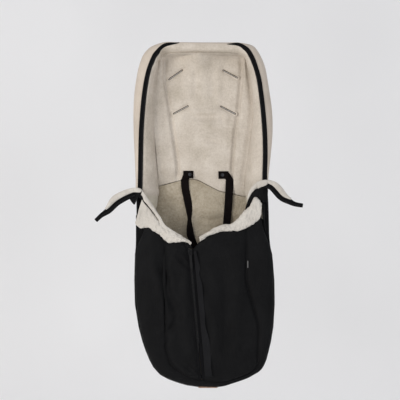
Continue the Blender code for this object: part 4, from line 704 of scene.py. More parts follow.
def height_marks(low, high, step):
    count = max(2, round((high - low) / step))
    return [blend(low, high, k / count) for k in range(count + 1)]


ZIP_LINE = Vector([
    (top - foot) * size
    for top, foot, size in zip(CENTRE_ZIP_TOP_SHARE, CENTRE_ZIP_FOOT_SHARE, (HALF_WIDTH, LENGTH))
]).normalized()
ZIP_ACROSS = Vector((ZIP_LINE.y, 0.0, -ZIP_LINE.x))
OUT = Vector((0.0, -1.0, 0.0))
RIGHT = Vector((1.0, 0.0, 0.0))
UP = Vector((0.0, 0.0, 1.0))
ZIP_STOP = CENTRE_ZIP_STOP_SHARE * LENGTH
TAPE_FRONT = CLOTH + GAP
FLAP_LIFT = 0.0006
FLAP_WAVE = 0.0016
FLAP_COLUMN_SHARES = (0.0, 0.4, 0.75, 1.0)


def flap_grid(lift):
    low, high = (share * LENGTH for share in (FLAP_SHARES[0][0], FLAP_SHARES[-1][0]))
    grid = []
    for k, z in enumerate(height_marks(low, high, SLIDER_LENGTH)):
        root = centre_x(z) + FLAP_ROOT_INSET
        free = centre_x(z) + look_up(FLAP_SHARES, z / LENGTH) * HALF_WIDTH
        wave = FLAP_WAVE * (1.0 + math.sin(k * 1.3)) / 2
        row = []
        for share in FLAP_COLUMN_SHARES:
            x = blend(root, free, share)
            row.append(point(x, cover_depth(x, z) + lift + wave * share * share, z))
        grid.append(row)
    return grid


WING_FLEECE_THICK = 0.0035
WING_CAP_SHARES = ((-0.97, 0.25), (-0.7, 0.71), (-0.35, 0.935))
WING_STEPS = 3


def wing_rows(shares, count):
    """(middle, direction, half width) from the round root to the tip."""
    places = smooth_line(to_lengths(shares), WING_STEPS)
    halves = smooth_values([h * HALF_WIDTH for _, _, h in shares], WING_STEPS)
    line = [Vector(p) for p in places]
    lengths = [0.0]
    for a, b in zip(line, line[1:]):
        lengths.append(lengths[-1] + (b - a).length)
    start = (line[1] - line[0]).normalized()
    root = halves[0]
    rows = [(line[0] + start * root * back, start, root * wide) for back, wide in WING_CAP_SHARES]
    for k in range(count + 1):
        goal = lengths[-1] * k / count
        i = max(j for j in range(len(lengths) - 1) if lengths[j] <= goal + GAP / 10)
        share = min(1.0, (goal - lengths[i]) / (lengths[i + 1] - lengths[i]))
        run = (line[i + 1] - line[i]).normalized()
        rows.append((line[i].lerp(line[i + 1], share), run, blend(halves[i], halves[i + 1], share)))
    return rows


STRAP_HALF = 0.011
TAB_LIFT = 0.0054
TAB_THICK = 0.0024
STRAP_DEPTHS = {
    "left": (0.0262, 0.0302, 0.0346, 0.0395, 0.0440, 0.0465, 0.0450, 0.0420),
    "right": (0.0280, 0.0302, 0.0330, 0.0360, 0.0385, 0.0400, 0.0405, 0.0405),
}
FOOT_TAB_X_SHARE = 0.057
FOOT_TAB_DEPTH = 0.041
FOOT_TAB_THICK = 0.006
FOOT_TAB_HEIGHT = 0.005
FOOT_TAB_RAISE = 0.0004
SEAM_TAB_THICK = 0.001
SEAM_TAB_Z_SHARES = (0.349, 0.369)

# Fineness of the soft pieces
STEP = 0.0042
WALL_STEP = 0.0050
BACK_STEP = 0.008
LINING_STEP = 0.0036
SEAT_STEP = 0.0046
TAPE_STEP = 0.0045
TAPE_ACROSS = 0.0033
COVER_TAPE_STEP = 0.0060
COVER_TAPE_ACROSS = 0.0040
STRIP_ACROSS = 0.0045
CENTRE_TAPE_STEP = 0.0055
CENTRE_TAPE_ACROSS = 0.0030
BAND_STEP = 0.0030
TAB_STEP = 0.0018
LABEL_STEP = 0.0015
FLAP_STEP = 0.0035
PILE_STEP = 0.0022
PATCH_STEP = 0.0026

EVEN = (1.0, 1.0, 1.0)
SHEEN_ROUGHNESS = 0.55
CELL_SMOOTHNESS = 0.6
LEAST_ROUGHNESS = 0.05


def colour(red, green, blue):
    """A surface colour from its 8-bit display values."""
    shares = [value / 255.0 for value in (red, green, blue)]
    return (*(s / 12.92 if s <= 0.04045 else ((s + 0.055) / 1.055) ** 2.4 for s in shares), 1.0)


class Look:
    """A node material: noises in the object's own space drive colour and bump."""

    def __init__(self, name, roughness, metallic=0.0, sheen=0.0, specular=0.35):
        self.made = bpy.data.materials.new(name)
        self.made.use_nodes = True
        self.tree = self.made.node_tree
        self.entries = self.tree.nodes["Principled BSDF"].inputs
        values = {"Roughness": roughness, "Metallic": metallic, "Specular IOR Level": specular}
        if sheen:
            values.update({"Sheen Weight": sheen, "Sheen Roughness": SHEEN_ROUGHNESS})
        for entry, value in values.items():
            self.entries[entry].default_value = value
        self.coords = self.tree.nodes.new("ShaderNodeTexCoord").outputs["Object"]
        self.bump_from = None

    def node(self, kind, output, inputs, **settings):
        """One output of a new node, whose inputs are numbers or outputs of other nodes."""
        node = self.tree.nodes.new("ShaderNode" + kind)
        for name, value in settings.items():
            setattr(node, name, value)
        for name, value in inputs.items():
            if isinstance(value, bpy.types.NodeSocket):
                self.tree.links.new(value, node.inputs[name])
            else:
                node.inputs[name].default_value = value
        return node.outputs[output]

    def mapped(self, stretch=EVEN):
        return self.node("Mapping", "Vector", {"Scale": stretch, "Vector": self.coords})

    def noise(self, scale, detail=2.0, stretch=EVEN, roughness=0.5, distortion=0.0):
        return self.node("TexNoise", "Fac", {
            "Scale": scale, "Detail": detail, "Roughness": roughness, "Distortion": distortion,
            "Vector": self.mapped(stretch),
        })

    def cells(self, scale):
        inputs = {"Scale": scale, "Smoothness": CELL_SMOOTHNESS, "Vector": self.mapped()}
        return self.node("TexVoronoi", "Distance", inputs, feature="SMOOTH_F1")

    def bands(self, scale, direction, distortion=0.0):
        inputs = {"Scale": scale, "Distortion": distortion, "Vector": self.mapped()}
        return self.node("TexWave", "Fac", inputs, bands_direction=direction)

    def combine(self, kind, first, second):
        return self.node("Math", "Value", {0: first, 1: second}, operation=kind)

    def mix(self, first, second, share):
        """Two noises added, with the share that the second has."""
        parts = [self.combine("MULTIPLY", *part) for part in ((first, 1.0 - share), (second, share))]
        return self.combine("ADD", *parts)

    def paint(self, fac, *stops):
        """Base colour from a noise through a ramp of (position, 8-bit colour)."""
        node = self.tree.nodes.new("ShaderNodeValToRGB")
        ramp = node.color_ramp
        while len(ramp.elements) < len(stops):
            ramp.elements.new(0.5)
        for element, (position, shade) in zip(ramp.elements, stops):
            element.position = position
            element.color = colour(*shade)
        self.tree.links.new(fac, node.inputs["Fac"])
        self.tree.links.new(node.outputs["Color"], self.entries["Base Color"])

    def rough(self, fac, low, high):
        ranged = self.node("MapRange", "Result", {"To Min": low, "To Max": high, "Value": fac})
        self.tree.links.new(ranged, self.entries["Roughness"])

    def bump(self, fac, distance, strength):
        inputs = {"Distance": distance, "Strength": strength, "Height": fac}
        if self.bump_from:
            inputs["Normal"] = self.bump_from
        self.bump_from = self.node("Bump", "Normal", inputs)
        self.tree.links.new(self.bump_from, self.entries["Normal"])


def fleece_look(name, dark, mid, light, pile=430.0, depth=0.0011, grain=0.38):
    look = Look(name, 0.93, sheen=0.12, specular=0.10)
    tufts = look.cells(pile)
    broad = look.noise(16.0, 3.0, roughness=0.6)
    fine = look.noise(pile * 0.55, 3.0, distortion=0.4)
    look.paint(look.mix(broad, fine, grain), (0.30, dark), (0.50, mid), (0.70, light))
    look.bump(look.noise(38.0, 3.0), 0.0045, 0.6)
    look.bump(tufts, depth, 0.6)
    look.bump(fine, depth * 0.8, 0.5)
    return look.made


def cloth_look(name, dark, light, weave=620.0, roughness=0.86, wrinkle=0.0034, sheen=0.02, gloss=0.14):
    look = Look(name, roughness, sheen=sheen, specular=gloss)
    broad = look.noise(9.0, 4.0, roughness=0.62)
    look.paint(look.mix(broad, look.noise(weave * 0.8, 2.0), 0.3), (0.32, dark), (0.68, light))
    look.rough(look.noise(30.0, 3.0), roughness - 0.10, min(1.0, roughness + 0.12))
    look.bump(look.noise(13.0, 4.0, (1.0, 1.0, 0.45), 0.55, 0.6), wrinkle * 2.2, 0.5)
    look.bump(look.noise(46.0, 3.0, (1.0, 1.0, 0.7)), wrinkle * 0.55, 0.5)
    threads = [look.bands(weave, direction) for direction in ("DIAGONAL", "Z")]
    look.bump(look.combine("MULTIPLY", *threads), 0.0003, 0.35)
    return look.made


def ribbed_look(name, dark, light, rib, roughness=0.82, depth=0.0003):
    look = Look(name, roughness, specular=0.07)
    ribs = look.bands(rib, "Z", distortion=0.3)
    worn = look.noise(60.0, 4.0, roughness=0.65)
    look.paint(look.mix(worn, ribs, 0.25), (0.30, dark), (0.75, light))
    look.bump(ribs, depth, 0.6)
    look.bump(look.noise(1500.0, 2.0), depth * 0.5, 0.4)
    return look.made


def hard_look(name, dark, light, roughness, metallic, specular=0.5):
    look = Look(name, roughness, metallic, specular=specular)
    marks = look.noise(420.0, 5.0, (1.0, 1.0, 6.0), 0.7)
    look.paint(look.noise(70.0, 4.0), (0.35, dark), (0.70, light))
    look.rough(marks, max(LEAST_ROUGHNESS, roughness - 0.14), min(1.0, roughness + 0.20))
    look.bump(marks, 0.0001, 0.35)
    return look.made


def leather_look(name, dark, light):
    look = Look(name, 0.55, specular=0.4)
    look.paint(look.noise(120.0, 4.0), (0.30, dark), (0.72, light))
    look.rough(look.noise(260.0, 3.0), 0.42, 0.72)
    look.bump(look.cells(900.0), 0.0004, 0.6)
    look.bump(look.noise(90.0, 3.0), 0.0008, 0.4)
    return look.made


def plain_look(name, dark, light):
    look = Look(name, 0.9, specular=0.1)
    look.paint(look.noise(1.2, 2.0), (0.3, dark), (0.7, light))
    look.bump(look.noise(160.0, 3.0), 0.0004, 0.2)
    return look.made


LOOKS = {
    "lining": fleece_look("lining_fleece", (176, 166, 151), (196, 186, 173), (212, 203, 191)),
    "wall_lining": fleece_look("wall_fleece", (172, 164, 147), (192, 184, 168), (206, 199, 184)),
    # Seat fleece: its own warmer tone, darkened further by painted shade for the deep bottom of the bag
    "seat": fleece_look(
        "seat_fleece", (140, 127, 107), (166, 155, 136), (189, 178, 160), pile=330.0, depth=0.0024,
    ),
    "sherpa": fleece_look(
        "sherpa", (181, 175, 166), (196, 190, 181), (207, 202, 193), pile=240.0, depth=0.0016, grain=0.22,
    ),
    "cream": cloth_look("cream_cloth", (186, 174, 160), (210, 198, 184), wrinkle=0.0020, sheen=0.03),
    "black": cloth_look(
        "black_cloth", (11, 11, 12), (18, 18, 19), roughness=0.72, wrinkle=0.0056, sheen=0.0, gloss=0.10,
    ),
    # Storm flap: the shell's black cloth, painted lighter as light falling on the raised flap
    "flap": cloth_look("flap_cloth_painted_light", (16, 16, 18), (25, 25, 27), roughness=0.72, sheen=0.0, gloss=0.11),
    "back": cloth_look("back_cloth", (20, 20, 22), (31, 31, 34), weave=480.0, wrinkle=0.0022),
    "tape": ribbed_look("zip_tape_weave", (12, 12, 13), (22, 22, 24), 520.0),
    "teeth": hard_look("zip_teeth_plastic", (9, 9, 10), (19, 19, 21), 0.5, 0.0, 0.2),
    "webbing": ribbed_look("webbing_ribs", (11, 7, 7), (24, 18, 18), 420.0, depth=0.0005),
    "metal": hard_look("dark_metal_worn", (44, 44, 46), (84, 84, 88), 0.36, 0.9),
    "painted": hard_look("painted_metal_worn", (8, 8, 9), (16, 16, 17), 0.55, 0.0, 0.22),
    "leather": leather_look("tan_leather_grain", (140, 102, 78), (184, 142, 110)),
    "bare": ribbed_look("bare_woven_tab", (92, 91, 90), (118, 117, 116), 700.0, roughness=0.85),
    # Painted shade: darker cloth on the slit side of the slot lips, for the shadow inside each slit
    "slot_painted_shade": cloth_look("slot_painted_shade_cloth", (96, 86, 72), (128, 117, 101), wrinkle=0.0005),
    "plain_wall": plain_look("plain_wall", (242, 241, 240), (247, 246, 245)),
}


def resample(grid, step, axis=0, count=None):
    """A grid of points with even small steps along one axis, on a smooth line through the given ones."""
    g = np.array(grid, float)
    if axis:
        g = g.swapaxes(0, 1)
    gaps = np.maximum(np.linalg.norm(np.diff(g, axis=0), axis=2).mean(axis=1), GAP / 100)
    t = np.concatenate([[0.0], np.cumsum(gaps)])
    wide = gaps[:, None, None]
    rise = np.diff(g, axis=0) / wide
    slope = np.zeros_like(g)
    slope[0], slope[-1] = rise[0], rise[-1]
    if len(gaps) > 1:
        slope[1:-1] = (rise[:-1] * wide[1:] + rise[1:] * wide[:-1]) / (wide[1:] + wide[:-1])
    count = count or max(1, int(round(t[-1] / step)))
    u = np.linspace(0.0, t[-1], count + 1)
    i = np.clip(np.searchsorted(t, u, side="right") - 1, 0, len(gaps) - 1)
    s = ((u - t[i]) / gaps[i])[:, None, None]
    h = wide[i]
    made = (
        (2 * s ** 3 - 3 * s ** 2 + 1) * g[i] + (s ** 3 - 2 * s ** 2 + s) * h * slope[i]
        + (3 * s ** 2 - 2 * s ** 3) * g[i + 1] + (s ** 3 - s ** 2) * h * slope[i + 1]
    )
    return made.swapaxes(0, 1) if axis else made


def refined(front, back, step, across=None):
    front, back = np.array(front, float), np.array(back, float)
    made = []
    rows = cols = None
    for g in (front, back):
        g = resample(g, step, 0, rows)
        rows = g.shape[0] - 1
        g = resample(g, across or step, 1, cols)
        cols = g.shape[1] - 1
        made.append(g)
    return made


def facing(grid, away_from):
    """Unit normals of a grid, pointing away from another grid."""
    normal = np.cross(np.gradient(grid, axis=0), np.gradient(grid, axis=1))
    normal /= np.maximum(np.linalg.norm(normal, axis=2, keepdims=True), 1e-12)
    side = ((grid - away_from) * normal).sum(axis=2)
    return normal * (-1.0 if np.median(side) < 0.0 else 1.0)


def edge_distance(grid, rows=True, cols=True):
    """Distance over the cloth from its nearest edge."""
    found = []
    for axis, wanted in ((0, rows), (1, cols)):
        if not wanted:
            continue
        gaps = np.linalg.norm(np.diff(grid, axis=axis), axis=2)
        run = np.cumsum(gaps, axis=axis)
        pad_at = [(1, 0), (0, 0)] if axis == 0 else [(0, 0), (1, 0)]
        run = np.pad(run, pad_at)
        last = run[-1:] if axis == 0 else run[:, -1:]
        found += [run, last - run]
    return np.minimum.reduce(found)


def swell(distance, width):
    """0 at a seam, 1 well inside the cloth."""
    return 1.0 - np.exp(-np.maximum(distance, 0.0) / width)


def rumple(grid, per_metre, stretch=EVEN, seed=0.0):
    places = grid.reshape(-1, 3) * np.array(stretch) * per_metre + seed
    return np.array([noise.noise(Vector(p)) for p in places]).reshape(grid.shape[:2])


def folds(grid, per_metre, stretch, seed=0.0):
    """Long soft ridges with sharper valleys."""
    wave = rumple(grid, per_metre, stretch, seed)
    return 0.6 - np.abs(wave) * 2.0


CREASE_END_RUN = 4.0
CREASE_END_LEAST = 0.15
RIDGE_ASIDE = 2.1


def crease(grid, line, width, depth, ridge=0.45):
    """A dent along a line of (x, z) places in front view, with a low ridge on both sides."""
    x, z = grid[..., 0], grid[..., 2]
    best = np.full(x.shape, 1.0)
    for (ax, az), (bx, bz) in zip(line, line[1:]):
        dx, dz = bx - ax, bz - az
        share = np.clip(((x - ax) * dx + (z - az) * dz) / (dx * dx + dz * dz), 0.0, 1.0)
        best = np.minimum(best, np.hypot(x - ax - share * dx, z - az - share * dz))
    ends = np.minimum(*(np.hypot(x - end[0], z - end[1]) for end in (line[0], line[-1])))
    soft = np.clip(ends / (CREASE_END_RUN * width), CREASE_END_LEAST, 1.0)
    dent = -depth * np.exp(-((best / width) ** 2))
    lift = ridge * depth * np.exp(-(((best - RIDGE_ASIDE * width) / width) ** 2))
    return (dent + lift) * soft


def relief(*waves, puff=0.0, width=STEP, sink=0.0, start=None, dents=(), rows=True):
    """A shape for pads: puffed between its seams, with waves and creases.

    A wave is its kind, height, number per metre, stretch, seed, and the distances over which it grows in from
    the edges. A dent is the line, width, depth and ridge of a crease.
    """
    def shape(g):
        near = edge_distance(g, rows=rows)
        lift = start(g, near) if start else puff * swell(near, width) - sink
        for kind, height, per_metre, stretch, seed, *fades in waves:
            wave = height * kind(g, per_metre, stretch, seed)
            for fade in fades:
                wave = wave * swell(near, fade)
            lift = lift + wave
        for dent in dents:
            lift = lift + crease(g, *dent)
        return lift
    return shape


def body(name, verts, faces, looks, marks=None, smooth=True, level=1):
    mesh = bpy.data.meshes.new(name)
    mesh.from_pydata([tuple(v) for v in verts], [], [tuple(f) for f in faces])
    for look in looks:
        mesh.materials.append(LOOKS[look])
    if marks is not None:
        mesh.polygons.foreach_set("material_index", marks)
    mesh.polygons.foreach_set("use_smooth", [smooth] * len(mesh.polygons))
    bm = bmesh.new()
    bm.from_mesh(mesh)
    if bm.calc_volume(signed=True) < 0.0:
        bmesh.ops.reverse_faces(bm, faces=bm.faces[:])
        bm.to_mesh(mesh)
    bm.free()
    mesh.update()
    obj = bpy.data.objects.new(name, mesh)
    bpy.context.scene.collection.objects.link(obj)
    if level:
        step = obj.modifiers.new("smooth", "SUBSURF")
        step.levels = step.render_levels = level
    return obj


def closed(name, front, back, looks, smooth=True, level=1):
    """A closed cloth or pad between two grids. Looks: front, back, rim."""
    rows, cols = front.shape[:2]
    size = rows * cols
    ids = np.arange(size).reshape(rows, cols)
    a, b, c, d = ids[:-1, :-1].ravel(), ids[:-1, 1:].ravel(), ids[1:, 1:].ravel(), ids[1:, :-1].ravel()
    faces = np.concatenate([np.stack([a, b, c, d], 1), np.stack([d, c, b, a], 1) + size])
    ring = np.concatenate([ids[0, :-1], ids[:-1, -1], ids[-1, :0:-1], ids[:0:-1, 0]])
    after = np.roll(ring, -1)
    rim = np.stack([after, ring, ring + size, after + size], 1)
    marks = np.zeros(len(faces) + len(rim), int)
    marks[len(a):2 * len(a)] = min(1, len(looks) - 1)
    marks[2 * len(a):] = min(2, len(looks) - 1)
    verts = np.concatenate([front.reshape(-1, 3), back.reshape(-1, 3)])
    return body(name, verts, np.concatenate([faces, rim]), looks, marks, smooth, level)


def pad(
    name, front, back, looks, step=STEP, shape_front=None, shape_back=None, level=1, across=None, rise=None,
):
    """A padded piece: two smooth faces with their swelling, dents and creases, closed round the rim."""
    f, b = refined(front, back, step, across)
    lift_f = shape_front(f) if shape_front else 0.0
    lift_b = shape_back(b) if shape_back else 0.0
    nf, nb = facing(f, b), facing(b, f)
    if shape_front:
        f = f + nf * lift_f[..., None]
    if rise:
        f[..., 1] -= rise(f)
    if shape_back:
        b = b + nb * lift_b[..., None]
    return closed(name, f, b, looks, level=level), f, b


def place_on(obj, body_name, nodes):
    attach(obj, body_name)
    if nodes:
        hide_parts(*nodes)
    return obj


def layers(pattern):
    return [pattern % layer for layer in ("shell", "wadding", "lining")]


def tube_faces(rings, corners, closed=False):
    """Faces of a tube of rings with the same number of corners."""
    faces = []
    for k in range(rings if closed else rings - 1):
        here, there = k * corners, (k + 1) % rings * corners
        for j in range(corners):
            after = (j + 1) % corners
            faces.append((here + j, here + after, there + after, there + j))
    return faces


# Side walls
def rows_of(path, line):
    return [[s.at(*place) for place in line(s)] for s in path]


wall_face = relief(
    (rumple, 0.0016, 9.0, (1.0, 1.0, 0.5), 0.0, 0.02), puff=0.0022, width=0.010, sink=0.0012, rows=False,
)
wall_inside = relief(
    (rumple, 0.0042, 7.0, (1.0, 1.0, 0.30), 3.0, 0.012),
    (folds, 0.0034, 15.0, (1.0, 1.0, 0.40), 7.0, 0.012, 0.03),
    puff=0.0030, width=0.012, sink=0.0015, rows=False,
)
gusset_face = relief(
    (rumple, 0.0022, 8.0, (1.0, 1.0, 0.6), 11.0, 0.02), puff=0.0016, width=0.010, sink=0.0014, rows=False,
)

hood_wall, _, _ = pad(
    "hood_wall", rows_of(HOOD_PATH, wall_outer), rows_of(HOOD_PATH, wall_inner),
    ("cream", "lining", "lining"), WALL_STEP, wall_face, wall_inside,
)
place_on(hood_wall, "main", layers("hood_wall_%s"))

body_wall, _, _ = pad(
    "body_wall", rows_of(BODY_WALL_PATH, wall_outer), rows_of(BODY_WALL_PATH, wall_inner),
    ("black", "wall_lining", "black"), WALL_STEP, gusset_face, wall_inside,
)
place_on(body_wall, "main", layers("body_wall_%s"))

# Soft band of lining over the joint of the two side walls, one a side
JOINT_REACH = 0.012
JOINT_LAP = 0.0014
JOINT_FALL = 1.6
for side, path in (
    ("left", [HOOD_PATH[1], HOOD_PATH[0]] + BODY_WALL_PATH[1:2]),
    ("right", [HOOD_PATH[-2], HOOD_PATH[-1]] + BODY_WALL_PATH[-2:-1]),
):
    inner, outer = refined(rows_of(path, wall_inner), rows_of(path, wall_outer), WALL_STEP / 2)
    joint = path[1].at(0.0, 0.0).z
    kept = np.abs(inner[:, len(inner[0]) // 2, 2] - joint) < JOINT_REACH
    out = facing(inner, outer)[kept]
    inner = inner[kept]
    away = np.abs(inner[..., 2] - joint) / JOINT_REACH
    lift = wall_inside(inner) + JOINT_LAP * (1.0 - JOINT_FALL * np.clip(away, 0.0, 1.0) ** 2)
    lift = lift[..., None]
    lap = closed("wall_joint_" + side, inner + out * lift, inner + out * (lift - FLEECE), ("lining",))
    place_on(lap, "main", ())


# Back panel
def slot_frame(x_share, z_share, turn):
    centre = Vector((x_share * HALF_WIDTH, z_share * LENGTH))
    tilt = turn * math.pi / 2
    along = Vector((math.cos(tilt), math.sin(tilt)))
    return centre, along, Vector((-along.y, along.x))


def slot_dent(grid, reach, depth):
    """Dents a grid toward each harness slot."""
    made = np.zeros(grid.shape[:2])
    for _, *place in SLOT_SHARES:
        centre, along, across = slot_frame(*place)
        dx = grid[..., 0] - centre.x
        dz = grid[..., 2] + HEAD_TOP_SHARE * LENGTH - centre.y
        a = np.maximum(np.abs(dx * along.x + dz * along.y) - SLOT_LENGTH / 2, 0.0)
        b = np.abs(dx * across.x + dz * across.y)
        made -= depth * np.exp(-(np.hypot(a, b) / reach) ** 2)
    return made


def slot_cutter(place, low, high):
    centre, along, across = slot_frame(*place)
    bm = bmesh.new()
    ring = []
    half = SLOT_WIDTH / 2 + BINDING * 0.6
    for end in (1, -1):
        for k in range(9):
            angle = math.pi * (k / 8 - 0.5)
            spot = centre + along * end * ((SLOT_LENGTH / 2 - SLOT_WIDTH / 2) + math.cos(angle) * half)
            spot = spot + across * end * math.sin(angle) * half
            ring.append(bm.verts.new(point(spot.x, low, spot.y)))
    grown = bmesh.ops.extrude_face_region(bm, geom=[bm.faces.new(ring)])
    for item in grown["geom"]:
        if isinstance(item, bmesh.types.BMVert):
            item.co.y = -high
    bmesh.ops.recalc_face_normals(bm, faces=bm.faces[:])
    if bm.calc_volume(signed=True) < 0.0:
        bmesh.ops.reverse_faces(bm, faces=bm.faces[:])
    mesh = bpy.data.meshes.new("cutter")
    bm.to_mesh(mesh)
    bm.free()
    obj = bpy.data.objects.new("cutter", mesh)
    bpy.context.scene.collection.objects.link(obj)
    return obj


def pierced(obj, low, high):
    """Cuts the harness slots through a piece."""
    for _, *place in SLOT_SHARES:
        cutter = slot_cutter(place, low, high)
        step = obj.modifiers.new("slot", "BOOLEAN")
        step.operation = "DIFFERENCE"
        step.solver = "EXACT"
        step.object = cutter
        bpy.context.view_layer.update()
        shown = obj.evaluated_get(bpy.context.evaluated_depsgraph_get())
        mesh = bpy.data.meshes.new_from_object(shown)
        obj.modifiers.clear()
        obj.data = mesh
        bpy.data.objects.remove(cutter, do_unlink=True)


BACK_FRONT = CLOTH * 1.2
BACK_COLUMN_SHARES = (0.0, 0.2, 0.4, 0.6, 0.8, 1.0)


def back_inset(_):
    return BACK_EDGE_INSET + CLOTH


back_rows = [end_row(0, FOOT, back_inset, BACK_COLUMN_SHARES)]
back_rows += [level_row(i, back_inset, BACK_COLUMN_SHARES) for i in range(1, len(LEVELS_LEFT) - 1)]
back_rows.append(end_row(-1, HEAD, back_inset, BACK_COLUMN_SHARES))
back_rear, back_front = (
    [[point(p.x, depth, p.y) for p in row] for row in back_rows] for depth in (GAP, BACK_FRONT)
)
back_cloth, back_sheet, _ = pad(
    "back_cloth", back_rear, back_front, ("back",), BACK_STEP,
    relief((rumple, 0.0010, 8.0, (1.0, 1.0, 0.5), 5.0, 0.02), sink=0.0004), level=0,
)
pierced(back_cloth, -PAD, PAD)
place_on(back_cloth, "main", ("back_panel",))


# Quilted lining of the upper back, with its filling
def metres(*places):
    """Front view places from (x, z) in millimetres."""
    return [(x / 1000.0, z / 1000.0) for x, z in places]


QUILT_SEAMS = [
    [(x * HALF_WIDTH, (z - HEAD_TOP_SHARE) * LENGTH) for x, z in table]
    for table in (LEFT_QUILT_SHARES, RIGHT_QUILT_SHARES)
]
# Quilt seams, edges of the middle panel, a fold at the spine, the lumbar seam, its fold and two nicks
LINING_DENTS = [
    (line, size, size, ridge) for line in QUILT_SEAMS for size, ridge in ((0.0042, 0.35), (0.0012, 0.0))
]
LINING_DENTS += [
    (metres((-24, -62), (-26, -110), (-24, -165)), 0.0085, 0.0022, 0.8),
    (metres((22, -60), (24, -112), (22, -168)), 0.0085, 0.0022, 0.8),
    (metres((-45, -78), (-43, -122)), 0.0050, 0.0022),
    (metres((-43, -201), (3, -203), (47, -200)), 0.0070, 0.0048, 0.75),
    (metres((-8, -266), (50, -269)), 0.0060, 0.0036),
    (metres((46, -202), (54, -220)), 0.0040, 0.0036),
    (metres((86, -236), (116, -243)), 0.0045, 0.0038),
]
SLOT_DENT_REACH = 0.0095
SLOT_DENT_DEPTH = 0.0042
TOP_COVE = 0.056
TOP_COVE_REACH = 0.086
TOP_COVE_START = 0.15
TOP_COVE_RUN = 0.11
LEFT_COVE = 0.021
RIGHT_COVE = 0.006
SIDE_COVE_REACH = 0.052
SIDE_COVE_RUN = 0.06
TOP_COVE_CURVE = 2.0
SIDE_COVE_CURVE = 1.8
COVE_FADE_AT_SIDES = 0.022
COVE_FADE_AT_ENDS = 0.03
LINING_FLAT_HEIGHT = 0.985
LINING_FLAT_RUN = 0.03
lining_folds = relief(
    (rumple, 0.0030, 6.5, (1.0, 1.0, 0.45), 2.0, 0.02), (folds, 0.0022, 13.0, (0.8, 1.0, 0.7), 9.0, 0.03),
    (rumple, 0.0011, 34.0, (1.0, 1.0, 0.5), 19.0), dents=LINING_DENTS,
)


def lining_face(g):
    return lining_folds(g) + slot_dent(g, SLOT_DENT_REACH, SLOT_DENT_DEPTH)


def lining_rise(g):
    """The lining curving up toward the head and the side walls."""
    rows = edge_distance(g, cols=False)
    sides = edge_distance(g, rows=False)
    high = np.clip((g[..., 2] + TOP_COVE_START) / TOP_COVE_RUN, 0.0, 1.0)
    high = high * high * (3.0 - 2.0 * high)
    side = np.where(g[..., 0] < 0.0, LEFT_COVE, RIGHT_COVE) * np.clip(-g[..., 2] / SIDE_COVE_RUN, 0.0, 1.0)
    near_top = np.clip(1.0 - rows / TOP_COVE_REACH, 0.0, 1.0) ** TOP_COVE_CURVE
    near_side = np.clip(1.0 - sides / SIDE_COVE_REACH, 0.0, 1.0) ** SIDE_COVE_CURVE
    cove = TOP_COVE * high * near_top * swell(sides, COVE_FADE_AT_SIDES)
    return cove + side * near_side * swell(rows, COVE_FADE_AT_ENDS)


FIRST_LEVEL, SECOND_LEVEL = LINING_LEVEL_SHARES[:2]
first = quilted_row(crease_left, crease_right, FIRST_LEVEL)
lining_rows = [[point(p.x, LINING_DEPTH, crease_height(p.x) + GAP) for p, _ in first]]
for share in CREASE_ROW_SHARES:
    ends = pad_ends(*(blend(end, SECOND_LEVEL, share) for end in CREASE_END_SHARES))
    row = quilted_row(*ends, FIRST_LEVEL)
    heights = [blend(crease_height(p.x), SECOND_LEVEL * LENGTH, share) for p, _ in row]
    lining_rows.append([
        point(p.x, LINING_DEPTH + PUFF * puff * share, z) for (p, puff), z in zip(row, heights)
    ])
for height in LINING_LEVEL_SHARES[1:]:
    flat = min(1.0, (LINING_FLAT_HEIGHT - height) / LINING_FLAT_RUN)
    row = quilted_row(*pad_ends(height, height), height)
    lining_rows.append([point(p.x, LINING_DEPTH + PUFF * max(puff * flat, 0.0), p.y) for p, puff in row])
columns = len(first)
top = end_row(-1, HEAD, pad_inset, [j / (columns - 1) for j in range(columns)])
lining_rows.append([point(p.x, LINING_DEPTH, p.y) for p in top])
lining_rear = [[Vector((p.x, -(BACK_FRONT + GAP), p.z)) for p in row] for row in lining_rows]
back_pad, _, _ = pad(
    "back_pad", lining_rows, lining_rear, ("lining",), LINING_STEP, lining_face, level=0, rise=lining_rise,
)
pierced(back_pad, -PAD, LINING_DEPTH + PAD)
place_on(back_pad, "main", ("back_lining", "back_wadding"))

# Bound edges of the harness slots: two soft lips that nearly close each slot
LIP_GAP = 0.0001
LIP_RINGS = 44
LIP_FACES = 10
# These faces, on the slit side of each lip, carry the painted shade of the slit
LIP_INSIDE_FACES = range(3, 7)
LIP_SINK = 0.0036
LIP_MIDDLE = 0.004
LIP_FRONT, LIP_REAR = 0.0034, 0.012
LIP_SQUARENESS = 2.6
LIP_END_SHARE = 0.35
lip_depth = LINING_DEPTH + PUFF - LIP_SINK - LIP_MIDDLE
lip_half = (SLOT_WIDTH / 2 + BINDING * 1.5 - LIP_GAP) / 2
for label, *place in SLOT_SHARES:
    centre, along, across = slot_frame(*place)
    verts = []
    for k in range(LIP_RINGS):
        turn = 2 * math.pi * k / LIP_RINGS
        side = max(-1.0, min(1.0, LIP_SQUARENESS * math.sin(turn)))
        middle = centre + along * (SLOT_LENGTH / 2) * math.cos(turn)
        out = (across * side + along * math.cos(turn) * LIP_END_SHARE).normalized()
        ring = middle + out * (LIP_GAP + lip_half)
        for j in range(LIP_FACES):
            angle = 2 * math.pi * j / LIP_FACES
            off = out * math.cos(angle) * lip_half
            rise = math.sin(angle)
            depth = lip_depth + (LIP_FRONT if rise > 0 else LIP_REAR) * rise
            verts.append(point(ring.x + off.x, depth, ring.y + off.y))
    marks = [int(j in LIP_INSIDE_FACES) for j in range(LIP_FACES)] * LIP_RINGS
    faces = tube_faces(LIP_RINGS, LIP_FACES, closed=True)
    lips = body("slot_lips_" + label, verts, faces, ("lining", "slot_painted_shade"), marks)
    place_on(lips, "main", ("slot_binding_" + label,))

